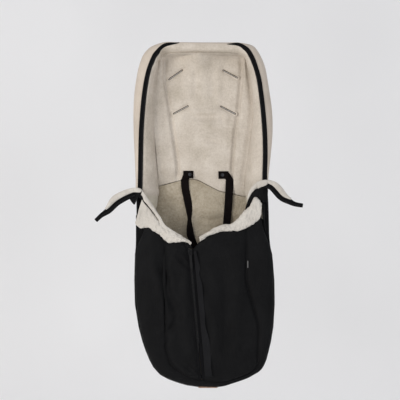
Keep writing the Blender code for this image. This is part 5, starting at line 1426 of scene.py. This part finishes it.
# Seat lining, tucked in under the side walls
SEAT_TUCK = 0.005
SEAT_PUFF_HEIGHT = 0.08
SEAT_FOLD_Z = (0.545 - HEAD_TOP_SHARE) * LENGTH
SEAT_DENTS = (
    ([(-0.105, SEAT_FOLD_Z - 0.010), (-0.06, SEAT_FOLD_Z), (-0.035, SEAT_FOLD_Z - 0.004)], 0.005, 0.003),
    ([(-0.02, SEAT_FOLD_Z - 0.055), (0.03, SEAT_FOLD_Z - 0.058), (0.06, SEAT_FOLD_Z - 0.05)], 0.005, 0.0025),
)
seat_face = relief(
    (rumple, 0.0062, 8.0, (0.6, 1.0, 1.0), 21.0, 0.015), (folds, 0.0056, 12.0, (0.5, 1.0, 1.15), 4.0, 0.015),
    (rumple, 0.0022, 26.0, (0.6, 1.0, 1.0), 33.0, 0.015), dents=SEAT_DENTS,
)
feet = [inset_place(levels[1], pad_inset(levels[1])) for levels in (LEVELS_LEFT, LEVELS_RIGHT)]
rows = [seat_row(*feet, 0.0)]
for height in SEAT_LEVEL_SHARES:
    rows.append(seat_row(*pad_ends(height, height), min(1.0, height / SEAT_PUFF_HEIGHT)))
for share in SEAT_TOP_SHARES:
    low = SEAT_LEVEL_SHARES[-1]
    ends = pad_ends(*(blend(low, end, share) for end in CREASE_END_SHARES))
    rows.append([
        point(p.x, -p.y, blend(low * LENGTH, crease_height(p.x) - SEAM_GAP, share))
        for p in seat_row(*ends, 1.0 - share * share)
    ])
for row in rows:
    row[0] = row[0] - RIGHT * SEAT_TUCK
    row[-1] = row[-1] + RIGHT * SEAT_TUCK
seat_rear = [[Vector((p.x, -(LINING_DEPTH - FLEECE), p.z)) for p in row] for row in rows]
seat_pad, _, _ = pad("seat_pad", rows, seat_rear, ("seat",), SEAT_STEP, seat_face)
place_on(seat_pad, "main", ("seat_lining",))


# Zip tapes and teeth
TOOTH_PITCH = 0.0026
TOOTH_LIFT = TAPE_THICK / 2 + GAP
# Corners of a tooth's side: reach across the tape, half width in pitches, height share
TOOTH_PROFILE = (
    (-COIL_WIDTH, 0.26, 0.0), (-COIL_WIDTH * 0.85, 0.30, 0.85), (0.0, 0.30, 1.0),
    (TOOTH_REACH * 0.9, 0.36, 0.75), (TOOTH_REACH, 0.30, 0.0),
)
TAPE_TAPER = 0.050
TAPE_TIP_SHARE = 0.10


def distances(places):
    return np.concatenate([[0.0], np.cumsum(np.linalg.norm(np.diff(places, axis=0), axis=1))])


def teeth(name, frames, low):
    """Small moulded teeth clamped on a tape's edge. A frame is its place, the way across and the way out."""
    places, across, out = (np.array([tuple(v) for v in row], float) for row in zip(*frames))
    run = distances(places)
    count = int(run[-1] / TOOTH_PITCH)
    at = (np.arange(count) + 0.5) * TOOTH_PITCH
    ahead = np.minimum(at + TOOTH_PITCH / 4, run[-1])
    p, a, o, t = (
        np.stack([np.interp(spots, run, rows[:, k]) for k in range(3)], 1)
        for spots, rows in ((at, places), (at, across), (at, out), (ahead, places))
    )
    a, o, t = (v / np.maximum(np.linalg.norm(v, axis=1, keepdims=True), 1e-9) for v in (a, o, t - p))
    verts, faces = [], []
    for k in range(count):
        start = len(verts)
        for reach, half, high in TOOTH_PROFILE:
            up = o[k] * (low + COIL_HEIGHT * high)
            verts += [p[k] + a[k] * reach + t[k] * side * half * TOOTH_PITCH + up for side in (-1.0, 1.0)]
        last = start + 2 * len(TOOTH_PROFILE) - 2
        faces += [(b, b + 1, b + 3, b + 2) for b in range(start, last, 2)]
        faces.append((start, last, last + 1, start + 1))
        faces.append(tuple(range(start, last + 1, 2))[::-1])
        faces.append(tuple(range(start + 1, last + 2, 2)))
    return body(name, verts, faces, ("teeth",), smooth=False, level=0)


def tapered(grid):
    """A tape drawn in to a point at its first row, toward its sewn edge."""
    g = np.array(grid, float)
    wide = np.clip(TAPE_TIP_SHARE + (1.0 - TAPE_TIP_SHARE) * distances(g[:, 0]) / TAPE_TAPER, 0.0, 1.0)
    return g[:, :1] + (g - g[:, :1]) * wide[:, None, None]


tape_face = relief((rumple, 0.0006, 26.0, EVEN, 6.0))
for side in SIDES:
    path = mirrored_path(side)
    outer = resample(rows_of(path, tape_line(TAPE_THICK / 2)), TAPE_STEP)
    inner = resample(rows_of(path, tape_line(-TAPE_THICK / 2)), TAPE_STEP, count=len(outer) - 1)
    tape, _, _ = pad(
        "open_tape_" + side, tapered(outer), tapered(inner), ("tape",), TAPE_STEP, tape_face,
        across=TAPE_ACROSS,
    )
    place_on(tape, "main", ("hood_zip_tape_" + side,))
    row = teeth("open_teeth_" + side, back_coil_frames(path)[2:], TOOTH_LIFT)
    place_on(row, "main", ("hood_zip_coil_" + side,))
    path = cover_zip_path(side)
    tape, _, _ = pad(
        "cover_tape_" + side, rows_of(path, cover_tape_line(0.0)), rows_of(path, cover_tape_line(TAPE_THICK)),
        ("tape",), COVER_TAPE_STEP, across=COVER_TAPE_ACROSS,
    )
    place_on(tape, "main", ("cover_zip_tape_" + side,))
    frames = []
    for s in path:
        _, edge, _, _ = zip_frame(s)
        ways = [section_vector(s, Vector(way)) for way in ((0.0, -1.0), (-1.0, 0.0))]
        frames.append((s.at(edge.x, edge.y + ZIP_MESH_GAP + COIL_WIDTH * 0.2), *ways))
    row = teeth("cover_teeth_" + side, frames, TOOTH_LIFT)
    place_on(row, "main", ("cover_zip_coil_" + side,))

# Front cover: outer panel, then the two halves
LEFT_SHARE_RUN = 0.06
COVER_SWELL, LEFT_SWELL = 0.0058, 0.0014
SEAM_RUN, LEFT_SEAM_RUN = 0.0065, 0.0050
COVER_SINK = 0.0040
# Folds: long and side folds on the left, by the zip, low left, low right, two long ones, below the right cuff
COVER_DENTS = (
    (metres((-115, -584), (-111, -619), (-103, -639), (-96, -679), (-84, -710), (-72, -734)), 0.0095, 0.0100),
    (metres((-68, -750), (-91, -778), (-103, -798)), 0.0075, 0.0070),
    (metres((-72, -580), (-56, -596), (-44, -607)), 0.0048, 0.0055),
    (metres((-60, -862), (-40, -880), (-12, -895)), 0.0070, 0.0055),
    (metres((112, -810), (103, -820), (92, -838)), 0.0070, 0.0052),
    (metres((-78, -620), (-72, -690), (-74, -760), (-66, -830)), 0.0120, 0.0062),
    (metres((52, -600), (60, -680), (56, -760), (62, -820)), 0.0140, 0.0062),
    (metres((35, -545), (70, -540), (105, -535)), 0.0065, 0.0034),
)


def cover_puff(g, near):
    """Swelling of the cover's panels, softer and fuller on the left."""
    left = np.clip(0.5 - g[..., 0] / LEFT_SHARE_RUN, 0.0, 1.0)
    return (COVER_SWELL + LEFT_SWELL * left) * swell(near, SEAM_RUN + LEFT_SEAM_RUN * left) - COVER_SINK


panel_folds = relief(
    (rumple, 0.0064, 7.5, (1.0, 1.0, 0.50), 13.0, 0.018),
    (folds, 0.0052, 11.0, (1.0, 1.0, 0.35), 31.0, 0.018),
    (rumple, 0.0018, 30.0, (1.0, 1.0, 0.6), 41.0, 0.018), start=cover_puff, dents=COVER_DENTS,
)
fleece_face = relief((rumple, 0.0020, 9.0, EVEN, 17.0, 0.015))
COVER_LOOKS = ("black", "wall_lining", "black")

surround, _, _ = pad(
    "cover_surround", [ring_line(s, 0.0, 0.0) for s in RING_PATH],
    [ring_line(s, COVER_THICK, SIDE_TAPE_WIDTH) for s in RING_PATH],
    COVER_LOOKS, STEP, panel_folds, fleece_face,
)
place_on(surround, "main", layers("surround_%s"))

# Black cloth behind the U seam, which shows where the two puffed edges meet
SEAM_STRIP_HALF = 0.0045
SEAM_STRIP_DROP = 0.0040
CENTRE_TAPE_DROP = 0.012
fronts, rears = [], []
for s in RING_PATH:
    places = [seam_place(s, aside) for aside in (-SEAM_STRIP_HALF, 0.0, SEAM_STRIP_HALF)]
    for rows, drop in ((fronts, SEAM_STRIP_DROP), (rears, SEAM_STRIP_DROP + TAPE_THICK)):
        rows.append([point(p.x, cover_depth(p.x, p.y) - drop, p.y) for p in places])
seam_strip, _, _ = pad("cover_seam_strip", fronts, rears, ("black",), COVER_TAPE_STEP, across=STRIP_ACROSS)
place_on(seam_strip, "main", ())

for side, toward in (("left", -1.0), ("right", 1.0)):
    half, _, _ = pad(
        "cover_half_" + side, half_grid(side, 0.0, CENTRE_SHELL_EDGE),
        half_grid(side, COVER_THICK, CENTRE_LINING_EDGE), COVER_LOOKS, STEP, panel_folds, fleece_face,
    )
    place_on(half, "cover_" + side, layers("cover_%s_" + side))
    low = CENTRE_ZIP_FOOT_SHARE[1] * LENGTH - CENTRE_TAPE_DROP
    high = ZIP_TOP - 2 * GAP
    fronts, rears = [], []
    for z in height_marks(low, high, SLIDER_LENGTH * 1.2):
        xs = [centre_x(z) + toward * r for r in (CENTRE_TAPE_REACH, CENTRE_TAPE_REACH / 2, GAP / 2)]
        fronts.append([point(x, cover_depth(x, z) - TAPE_FRONT, z) for x in xs])
        rears.append([point(x, cover_depth(x, z) - TAPE_FRONT - TAPE_THICK, z) for x in xs])
    tape, _, _ = pad(
        "centre_tape_" + side, fronts, rears, ("tape",), CENTRE_TAPE_STEP, across=CENTRE_TAPE_ACROSS,
    )
    place_on(tape, "cover_" + side, ("centre_zip_tape_" + side,))
    aside = toward * (ZIP_MESH_GAP / 2 + TOOTH_REACH / 2)
    late = UP * (TOOTH_PITCH / 2 if side == "right" else 0.0)
    start = ZIP_STOP + (0.0 if side == "left" else SLIDER_LENGTH * 1.4)
    frames = []
    for z in height_marks(start, high, SLIDER_LENGTH):
        x = centre_x(z)
        place = point(x + aside, cover_depth(x, z) - TAPE_FRONT, z) + late
        frames.append((place, ZIP_ACROSS * -toward, OUT))
    row = teeth("centre_teeth_" + side, frames, GAP)
    place_on(row, "cover_" + side, ("centre_zip_coil_" + side,))


# Sherpa cuffs: one soft roll a side
def cuff_rows(table, hooks=()):
    """Both faces of a cuff's roll, from its free lower edge over the top to behind the cover.

    A hook below 1 keeps a row's part behind the cover nearer to the front.
    """
    outer, inner = [], []
    for i, (upper_x, upper_z, lower_x, lower_z) in enumerate(table):
        hook = hooks[i] if i < len(hooks) else 1.0
        upper = Vector((upper_x * HALF_WIDTH, upper_z * LENGTH))
        lower = Vector((lower_x * HALF_WIDTH, lower_z * LENGTH))
        down = (lower - upper).normalized()
        width = (lower - upper).length
        fat = min(CUFF_THICK, width * 0.75)

        def place(along, off):
            spot = upper + down * along
            return point(spot.x, cover_depth(spot.x, spot.y) + off, spot.y)

        inside = -COVER_THICK * hook - SEAM_GAP
        edge = -COVER_THICK * 0.45 * hook
        outer.append([
            place(width, SEAM_GAP * 2), place(width - fat * 0.25, fat * 0.62), place(width * 0.6, fat),
            place(fat * 0.62, fat * 0.9), place(fat * 0.10, fat * 0.4), place(0.0, edge),
            place(fat * 0.2, inside - FLEECE * 0.8), place(CUFF_TURN, inside - FLEECE),
        ])
        rise = CUFF_RISE * 0.72 * fat / CUFF_THICK
        inner.append([
            place(width - fat * 0.08, SEAM_GAP), place(width * 0.75, SEAM_GAP), place(width * 0.5, SEAM_GAP),
            place(rise + FLEECE * 0.5, SEAM_GAP), place(rise, SEAM_GAP * 0.9),
            place(rise * 0.9, edge), place(rise, inside), place(CUFF_TURN * 0.95, inside),
        ])
    return outer, inner


# Tufts, the finer waves on them and a broad one under them: height, number per metre, seed
TUFTS = (0.0046, 95.0, 3.0)
TUFT_MIDDLE = 0.30
TUFT_WAVES = ((0.0018, 230.0, 8.0), (0.0006, 480.0, 5.0), (0.0034, 34.0, 2.0))


def curls(g):
    """Tufts of a sherpa pile."""
    height, per_metre, seed = TUFTS
    made = height * (TUFT_MIDDLE - np.abs(rumple(g, per_metre, seed=seed)))
    for height, per_metre, seed in TUFT_WAVES:
        made = made + height * rumple(g, per_metre, seed=seed)
    return made


LEFT_TAIL_SHARES = ((-0.205, 0.4245, -0.215, 0.4190), (-0.180, 0.4185, -0.186, 0.4155))
for side, table, hooks in (
    ("left", LEFT_END_CUFF_SHARES + LEFT_CUFF_SHARES + LEFT_TAIL_SHARES, (0.15, 0.6)),
    ("right", RIGHT_CUFF_SHARES + RIGHT_END_CUFF_SHARES, ()),
):
    outer, inner = cuff_rows(table, hooks)
    cuff, _, _ = pad("sherpa_cuff_" + side, outer, inner, ("sherpa",), PILE_STEP, curls)
    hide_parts("cuff_" + side, "cuff_end_" + side)
    z = -0.50
    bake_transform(cuff)


# Storm flap
FLAP_RISE = 0.0058
FLAP_WAVE_STEP = 0.21
FLAP_EVEN, FLAP_VARIED = 0.45, 0.55
flap_face = relief((rumple, 0.0012, 22.0, (0.5, 1.0, 1.0), 12.0))
front, back = refined(flap_grid(FLAP_LIFT + FLAP_THICK), flap_grid(FLAP_LIFT), FLAP_STEP)
share = np.linspace(0.0, 1.0, front.shape[1])[None, :]
wave = 0.5 + 0.5 * np.sin(np.arange(len(front)) * FLAP_WAVE_STEP)[:, None]
lift = flap_face(front) + FLAP_RISE * share ** 2 * (FLAP_EVEN + FLAP_VARIED * wave)
lift = lift[..., None] * facing(front, back)
flap = closed("loose_flap", front + lift, back + lift, ("flap",))
place_on(flap, "flap", ("storm_flap",))


# Wings: the zip's band below, white pile above, and the neck cloth they hang from
def front_places(*rows):
    """Shares of (x, z, half width) rows in millimetres, z from the head end."""
    return [
        (x / 1000.0 / HALF_WIDTH, HEAD_TOP_SHARE + z / 1000.0 / LENGTH, half / 1000.0 / HALF_WIDTH)
        for x, z, half in rows
    ]


WINGS = {
    "left": front_places(
        (-177.4, -410.4, 12.3), (-188.7, -409.1, 12.9), (-201.3, -413.0, 13.7), (-214.1, -418.4, 14.2),
        (-237.4, -431.8, 14.8), (-255.9, -455.6, 10.2), (-274.4, -469.0, 6.9), (-290.7, -484.3, 5.9),
    ),
    "right": front_places(
        (152.6, -388.9, 10.6), (160.5, -387.0, 11.4), (167.3, -386.5, 11.5), (178.0, -388.6, 12.4),
        (188.7, -395.1, 13.8), (199.7, -406.9, 14.4), (211.0, -420.3, 13.0), (226.3, -430.5, 9.6),
        (243.6, -439.5, 7.0), (265.1, -443.3, 6.2),
    ),
}
BAND = 0.0132
BAND_LIMIT = 1.5
BAND_CROWN = 1.25
PILE_LEAST = 0.0035
WING_ROWS = 14
BAND_ROWS = 18
WING_WAVE_SHARE = 0.3


def wing_grids(rows, columns, low, high):
    front, back = [], []
    for middle, run, half in rows:
        down = Vector((run.y, -run.x))
        down = down if down.y < 0.0 else -down
        spots = [middle + down * (half - reach) for reach in columns(half)]
        lifts = high if isinstance(high, tuple) else (high,) * len(spots)
        front.append([point(p.x, WING_PLANE + lift, p.y) for p, lift in zip(spots, lifts)])
        back.append([point(p.x, WING_PLANE + low, p.y) for p in spots])
    return front, back


WING_TUFTS = 0.75
WING_TUFT_RUN = 0.002
WING_SWELL = 0.0012
WING_SWELL_RUN = 0.005


def wing_pile(g):
    near = edge_distance(g)
    return curls(g) * WING_TUFTS * swell(near, WING_TUFT_RUN) + WING_SWELL * swell(near, WING_SWELL_RUN)


wing_wave = relief((rumple, 0.0011, 20.0, EVEN, 14.0))
for side, shares in WINGS.items():
    plain = wing_rows(shares, WING_ROWS)
    front, back = wing_grids(plain, lambda half: (0.0, half, 2 * half - CLOTH), 0.0, WING_THICK)
    front, back = refined(front, back, FLAP_STEP)
    lift = wing_wave(front)[..., None] * facing(front, back) * WING_WAVE_SHARE
    shell = closed("wing_cloth_" + side, front + lift, back + lift, ("black",))
    place_on(shell, "wing_" + side, ("wing_shell_" + side,))
    padding = [row for row in plain[1:] if 2 * row[2] > BAND + PILE_LEAST]
    low = WING_THICK + GAP
    high = (low + CLOTH, low + WING_FLEECE_THICK, low + CLOTH)
    front, back = wing_grids(
        padding,
        lambda half: (min(BAND, BAND_LIMIT * half) + GAP, blend(BAND, 2 * half, 0.5), 2 * half + GAP),
        low, high,
    )
    pile, _, _ = pad("wing_pile_" + side, front, back, ("sherpa",), PILE_STEP, wing_pile)
    place_on(pile, "wing_" + side, ("wing_fleece_" + side,))
    fine = wing_rows(shares, BAND_ROWS)[len(WING_CAP_SHARES) + 1:]
    tape_rise = low + TAPE_THICK
    front, back = wing_grids(
        fine, lambda half: [min(BAND, 2 * half - CLOTH) * part + GAP for part in (0.0, 0.5, 1.0)], low,
        (tape_rise, tape_rise * BAND_CROWN, tape_rise),
    )
    band, band_face, _ = pad("wing_band_" + side, front, back, ("tape",), BAND_STEP)
    place_on(band, "wing_" + side, ())
    frames = [
        (Vector(row[1]), (Vector(row[0]) - Vector(row[2])).normalized(), OUT) for row in band_face
    ]
    row = teeth("wing_teeth_" + side, frames, GAP / 2)
    place_on(row, "wing_" + side, ("wing_zip_" + side,))


# Small pieces at the neck, the cuffs' ends and the side gussets
PATCH_EDGE = 0.6
PATCH_TUFTS = 0.5


def soft_curls(g):
    return curls(g) * PATCH_TUFTS


def patch(name, look, rows, body_name="main", on_cover=False):
    """A small cloth piece from rows of (x, z, x, z, depth, thickness) in millimetres, z from the head end."""
    front, back = [], []
    for ax, az, bx, bz, depth, thick in rows:
        front_row, back_row = [], []
        for share, full in ((0.0, PATCH_EDGE), (0.5, 1.0), (1.0, PATCH_EDGE)):
            x = blend(ax, bx, share) / 1000.0
            z = blend(az, bz, share) / 1000.0 + HEAD_TOP_SHARE * LENGTH
            base = depth / 1000.0 + (cover_depth(x, z) if on_cover else 0.0)
            front_row.append(point(x, base + thick / 1000.0 * full, z))
            back_row.append(point(x, base, z))
        front.append(front_row)
        back.append(back_row)
    made, face, _ = pad(name, front, back, (look,), PATCH_STEP, soft_curls if look == "sherpa" else None)
    return place_on(made, body_name, ())


patch("neck_triangle_left", "black", (
    (-200.5, -423.5, -199.5, -426.5, 106.2, 1.4), (-192.0, -418.0, -194.0, -435.0, 106.2, 1.4),
    (-184.0, -420.0, -186.5, -442.0, 106.2, 1.4), (-180.0, -418.0, -181.5, -432.0, 106.2, 1.4),
))
patch("neck_pile_left", "sherpa", (
    (-182.0, -395.0, -178.0, -412.0, 98.0, 6.0), (-170.5, -398.0, -171.0, -414.0, 98.0, 7.5),
    (-164.5, -404.0, -169.5, -421.0, 104.0, 7.5), (-155.5, -417.0, -163.5, -430.0, 112.0, 7.5),
    (-147.5, -427.0, -156.0, -438.5, 115.0, 7.0), (-138.5, -439.0, -147.0, -449.0, 116.0, 7.0),
    (-131.0, -451.0, -138.0, -459.0, 117.0, 6.5), (-123.0, -464.0, -129.5, -471.0, 117.5, 5.0),
    (-115.5, -475.0, -122.0, -482.0, 116.5, 4.0), (-111.0, -484.0, -119.0, -492.0, 116.0, 4.0),
))
patch("cuff_edge_left", "sherpa", (
    (-114.0, -478.5, -121.0, -487.0, 117.0, 3.5), (-109.5, -486.5, -117.0, -496.0, 117.0, 4.0),
    (-103.5, -495.5, -110.0, -507.0, 116.5, 4.5), (-91.0, -504.8, -96.0, -515.0, 116.0, 4.5),
    (-79.0, -513.0, -83.0, -523.0, 115.5, 4.0), (-66.0, -520.5, -68.0, -528.0, 115.0, 3.0),
    (-57.0, -525.0, -58.0, -529.0, 114.5, 1.5),
), "cover_left")
patch("neck_cord_left", "black", (
    (-170.5, -414.0, -175.0, -423.0, 113.5, 2.4), (-163.5, -421.0, -168.0, -426.0, 115.5, 2.4),
    (-157.0, -434.5, -160.0, -437.5, 118.5, 2.0), (-147.0, -447.5, -148.8, -449.2, 120.0, 1.8),
    (-137.0, -461.0, -138.2, -462.4, 121.0, 1.6), (-130.0, -471.0, -130.6, -471.8, 121.0, 1.2),
))
patch("neck_cloth_right", "black", (
    (110.0, -456.0, 114.0, -458.0, 94.0, 2.6), (114.0, -441.5, 124.5, -445.0, 94.5, 3.0),
    (119.5, -426.0, 136.5, -435.0, 95.5, 3.0), (125.5, -411.5, 143.5, -427.0, 96.0, 3.0),
    (135.5, -399.0, 149.0, -430.0, 97.5, 3.0), (150.5, -393.0, 154.5, -436.0, 99.0, 3.0),
    (159.0, -393.0, 159.5, -436.0, 99.0, 3.0), (164.0, -394.0, 164.5, -436.0, 97.0, 3.0),
    (172.5, -400.0, 171.0, -437.0, 95.0, 3.0),
))
patch("zip_gusset_right", "black", (
    (150.5, -430.0, 153.5, -470.0, 79.0, 2.0), (159.0, -430.0, 159.5, -500.0, 79.0, 2.0),
    (164.0, -430.0, 164.5, -500.0, 79.0, 2.0), (172.5, -430.0, 171.0, -478.0, 79.0, 2.0),
))
patch("neck_pile_right", "sherpa", (
    (115.0, -428.0, 119.0, -428.0, 96.0, 3.5), (122.5, -403.0, 130.0, -408.0, 97.0, 5.0),
    (133.0, -388.5, 142.0, -398.0, 98.5, 6.5), (145.5, -378.5, 153.5, -395.0, 99.5, 7.5),
    (160.0, -375.5, 163.0, -393.0, 100.0, 7.5),
))
patch("wing_root_right", "sherpa", (
    (139.5, -384.0, 144.0, -399.5, 106.0, 4.5), (146.5, -378.6, 150.0, -396.0, 109.0, 6.0),
    (153.5, -376.2, 156.5, -393.5, 110.0, 6.0),
    (162.0, -375.3, 163.5, -391.0, 110.0, 6.0), (170.0, -375.0, 170.5, -386.0, 110.0, 5.0),
), "wing_right")
patch("cover_corner_left", "black", (
    (-52.5, -540.0, -43.5, -539.5, -3.2, 1.3), (-51.5, -547.0, -35.5, -546.0, -3.2, 1.3),
    (-50.0, -553.0, -33.0, -552.5, -3.2, 1.3), (-49.0, -560.0, -31.0, -558.8, -3.2, 1.3),
), "cover_left", True)
patch("side_gusset_left", "black", (
    (-184.5, -470.0, -170.0, -470.0, 72.0, 1.6), (-184.5, -492.0, -158.0, -492.0, 76.0, 1.6),
    (-184.5, -520.0, -158.0, -520.0, 76.0, 1.6), (-184.5, -552.0, -170.0, -552.0, 74.0, 1.6),
))
patch("side_gusset_right", "black", (
    (173.5, -455.0, 158.0, -445.0, 76.0, 1.6), (175.5, -480.0, 152.0, -470.0, 78.0, 1.6),
    (176.5, -515.0, 154.0, -510.0, 76.0, 1.6), (178.0, -548.0, 168.0, -548.0, 74.0, 1.6),
))


# Straps
STRAP_COLUMNS = (-1.0, -0.86, 0.0, 0.86, 1.0)
STRAP_EDGE = 0.55


def strap_grids(shares, strap_depths):
    line = smooth_line(to_lengths(shares), 2)
    depths = smooth_values(strap_depths, 2)
    turns = smooth_values([turn for _, _, turn in shares], 2)
    front, back = [], []
    for (x, z), depth, turn in zip(line, depths, turns):
        angle = turn * math.pi / 2
        across = Vector((math.cos(angle), math.sin(angle), 0.0))
        through = Vector((math.sin(angle), -math.cos(angle), 0.0))
        middle = point(x, depth, z)
        for rows, off in ((front, STRAP_THICK / 2), (back, -STRAP_THICK / 2)):
            rows.append([
                middle + across * a * STRAP_HALF + through * off * (STRAP_EDGE if abs(a) == 1.0 else 1.0)
                for a in STRAP_COLUMNS
            ])
    return front, back


LEFT_STRAP_END_SHARES = ((-0.160, 0.4230, 0.30), (-0.128, 0.4080, 0.35), (-0.105, 0.3930, 0.3))
LEFT_STRAP_END_DEPTHS = (0.0385, 0.0350, 0.0330)
TAB_COLUMNS = (-0.5, -0.2, 0.2, 0.5)
# Rows of a tab: place up its height, share of its thickness
TAB_ROWS = ((-0.5, 0.75), (-0.44, 1.0), (0.0, 1.0), (0.44, 1.0), (0.5, 0.75))
tab_face = relief((rumple, 0.0003, 120.0, EVEN, 0.0))
for side, shares, depths in (
    ("left", LEFT_STRAP_SHARES + LEFT_STRAP_END_SHARES, STRAP_DEPTHS["left"] + LEFT_STRAP_END_DEPTHS),
    ("right", RIGHT_STRAP_SHARES, STRAP_DEPTHS["right"]),
):
    front, back = refined(*strap_grids(shares, depths), BAND_STEP)
    strap = closed("harness_strap_" + side, front, back, ("webbing",))
    place_on(strap, "strap_%s_body" % side, ("strap_" + side,))
    x, z = (share * size for share, size in zip(TAB_SHARES[side], (HALF_WIDTH, LENGTH)))
    low = LINING_DEPTH + TAB_LIFT
    front, back = (
        [[point(x + a * TAB_WIDTH, low + thick * thin, z + up * TAB_HEIGHT) for a in TAB_COLUMNS]
         for up, thin in TAB_ROWS] for thick in (TAB_THICK, 0.0)
    )
    tab, _, _ = pad("strap_loop_" + side, front, back, ("webbing",), TAB_STEP, tab_face)
    place_on(tab, "main", ("strap_tab_" + side,))

# Webbing seen between the tabs and the straps
STRAP_ROOTS = {
    "left": ((-55.0, -352.5, -34.5, -352.5, 27.4, 1.2), (-59.0, -364.0, -38.5, -364.0, 27.5, 1.3),
             (-63.3, -375.5, -41.5, -374.0, 27.5, 1.4)),
    "right": ((47.5, -352.5, 68.0, -352.5, 27.8, 1.2), (54.5, -364.0, 76.5, -364.5, 28.2, 1.3),
              (59.5, -374.0, 82.0, -375.5, 29.3, 1.4)),
}
for side, rows in STRAP_ROOTS.items():
    patch("strap_root_" + side, "webbing", rows, "strap_%s_body" % side)

# Leather tab at the foot, folded over the seam, and the bare tab in the right seam
LEATHER_CORNERS = 24
LEATHER_SPANS = 26
LEATHER_ROUND = 0.45
LEATHER_TRIM = 0.22
LEATHER_TRIM_FROM = 0.46
LEATHER_TRIM_RUN = 0.04
middle = point(FOOT_TAB_X_SHARE * HALF_WIDTH, FOOT_TAB_DEPTH, -FOOT_TAB_HEIGHT / 2 + FOOT_TAB_RAISE)
outline = []
for k in range(LEATHER_CORNERS):
    turn = 2 * math.pi * k / LEATHER_CORNERS
    outline.append([
        math.copysign(abs(way) ** LEATHER_ROUND, way) * size / 2
        for way, size in ((math.cos(turn), FOOT_TAB_THICK), (math.sin(turn), FOOT_TAB_HEIGHT))
    ])
verts = []
for k in range(LEATHER_SPANS + 1):
    share = k / LEATHER_SPANS - 0.5
    trim = 1.0 - LEATHER_TRIM * max(0.0, (abs(share) - LEATHER_TRIM_FROM) / LEATHER_TRIM_RUN)
    for depth, height in outline:
        verts.append(middle + RIGHT * share * FOOT_TAB_WIDTH + OUT * depth * trim + UP * height * trim)
faces = tube_faces(LEATHER_SPANS + 1, LEATHER_CORNERS)
ends = [tuple(range(start, start + LEATHER_CORNERS)) for start in (0, LEATHER_SPANS * LEATHER_CORNERS)]
leather = body("leather_fold", verts, faces + [ends[0][::-1], ends[1]], ("leather",), level=0)
place_on(leather, "main", ("foot_tab",))

LABEL_X_SHARES = (0.597, 0.616)
sheets = []
for lift in (GAP + SEAM_TAB_THICK, GAP * 0.5):
    rows = [[(x * HALF_WIDTH, z * LENGTH) for x in LABEL_X_SHARES] for z in SEAM_TAB_Z_SHARES]
    sheets.append([[point(x, cover_depth(x, z) + lift, z) for x, z in row] for row in rows])
bare, _, _ = pad("seam_label_bare", *sheets, ("bare",), LABEL_STEP)
place_on(bare, "cover_right", ("seam_tab",))

# Metal and moulded pieces keep their solids, with small bevels and worn finishes
HARD_NAMES = ("centre_slider", "centre_puller", "side_slider", "side_puller", "snap_cap")
HARD_BEVEL = 0.0002
for name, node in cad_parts.items():
    if not name.startswith(HARD_NAMES):
        continue
    node.data.materials.clear()
    node.data.materials.append(LOOKS["metal" if name.startswith("snap_cap") else "painted"])
    edge = node.modifiers.new("edge", "BEVEL")
    edge.width = HARD_BEVEL
    edge.segments = 2
    edge.limit_method = "ANGLE"

# Floor, backdrop, light and camera
FLOOR_Z = -1.62
WALL_Y = 2.35
ROOM = 6.0
BEND = 0.5
BEND_ANGLES = [k * math.pi / 20 for k in range(1, 10)]
profile = [(-ROOM, FLOOR_Z), (WALL_Y - BEND, FLOOR_Z)]
profile += [(WALL_Y - BEND + BEND * math.sin(a), FLOOR_Z + BEND * (1 - math.cos(a))) for a in BEND_ANGLES]
profile += [(WALL_Y, FLOOR_Z + BEND), (WALL_Y, FLOOR_Z + ROOM)]
verts = [(x, y, z) for y, z in profile for x in (-ROOM, ROOM)]
faces = [(2 * k, 2 * k + 1, 2 * k + 3, 2 * k + 2) for k in range(len(profile) - 1)]
room = body("room", verts, faces, ("plain_wall",), level=0)

scene = bpy.context.scene
scene.view_settings.view_transform = "Standard"
scene.view_settings.look = "None"
world = bpy.data.worlds.new("studio")
world.use_nodes = True
sky = world.node_tree.nodes["Background"].inputs
sky["Color"].default_value = (0.93, 0.95, 1.0, 1.0)
sky["Strength"].default_value = 0.62
scene.world = world

# Lamps: name, place, aim, size, power, tint
for name, place, aim, size, power, tint in (
    ("key", (-2.3, -2.65, 0.0), (0.0, 0.0, -0.45), 1.6, 60.0, (1.0, 0.97, 0.93)),
    ("fill", (1.9, -2.5, -0.7), (0.0, 0.0, -0.5), 2.4, 20.0, (0.95, 0.97, 1.0)),
):
    lamp = bpy.data.lights.new(name, "AREA")
    lamp.size = size
    lamp.energy = power
    lamp.color = tint
    obj = bpy.data.objects.new(name, lamp)
    obj.location = place
    obj.rotation_euler = (Vector(aim) - Vector(place)).to_track_quat("-Z", "Y").to_euler()
    scene.collection.objects.link(obj)

FRAME_WIDTH = 1.08
DISTANCE = 3.2
VIEW_X, VIEW_Z, VIEW_DEPTH = -0.0108, -0.4290, 0.085
camera_data = bpy.data.cameras.new("view")
camera_data.lens = camera_data.sensor_width * DISTANCE / FRAME_WIDTH
camera = bpy.data.objects.new("view", camera_data)
camera.location = (VIEW_X, -(VIEW_DEPTH + DISTANCE), VIEW_Z)
camera.rotation_euler = (math.pi / 2, 0.0, 0.0)
scene.collection.objects.link(camera)
scene.camera = camera
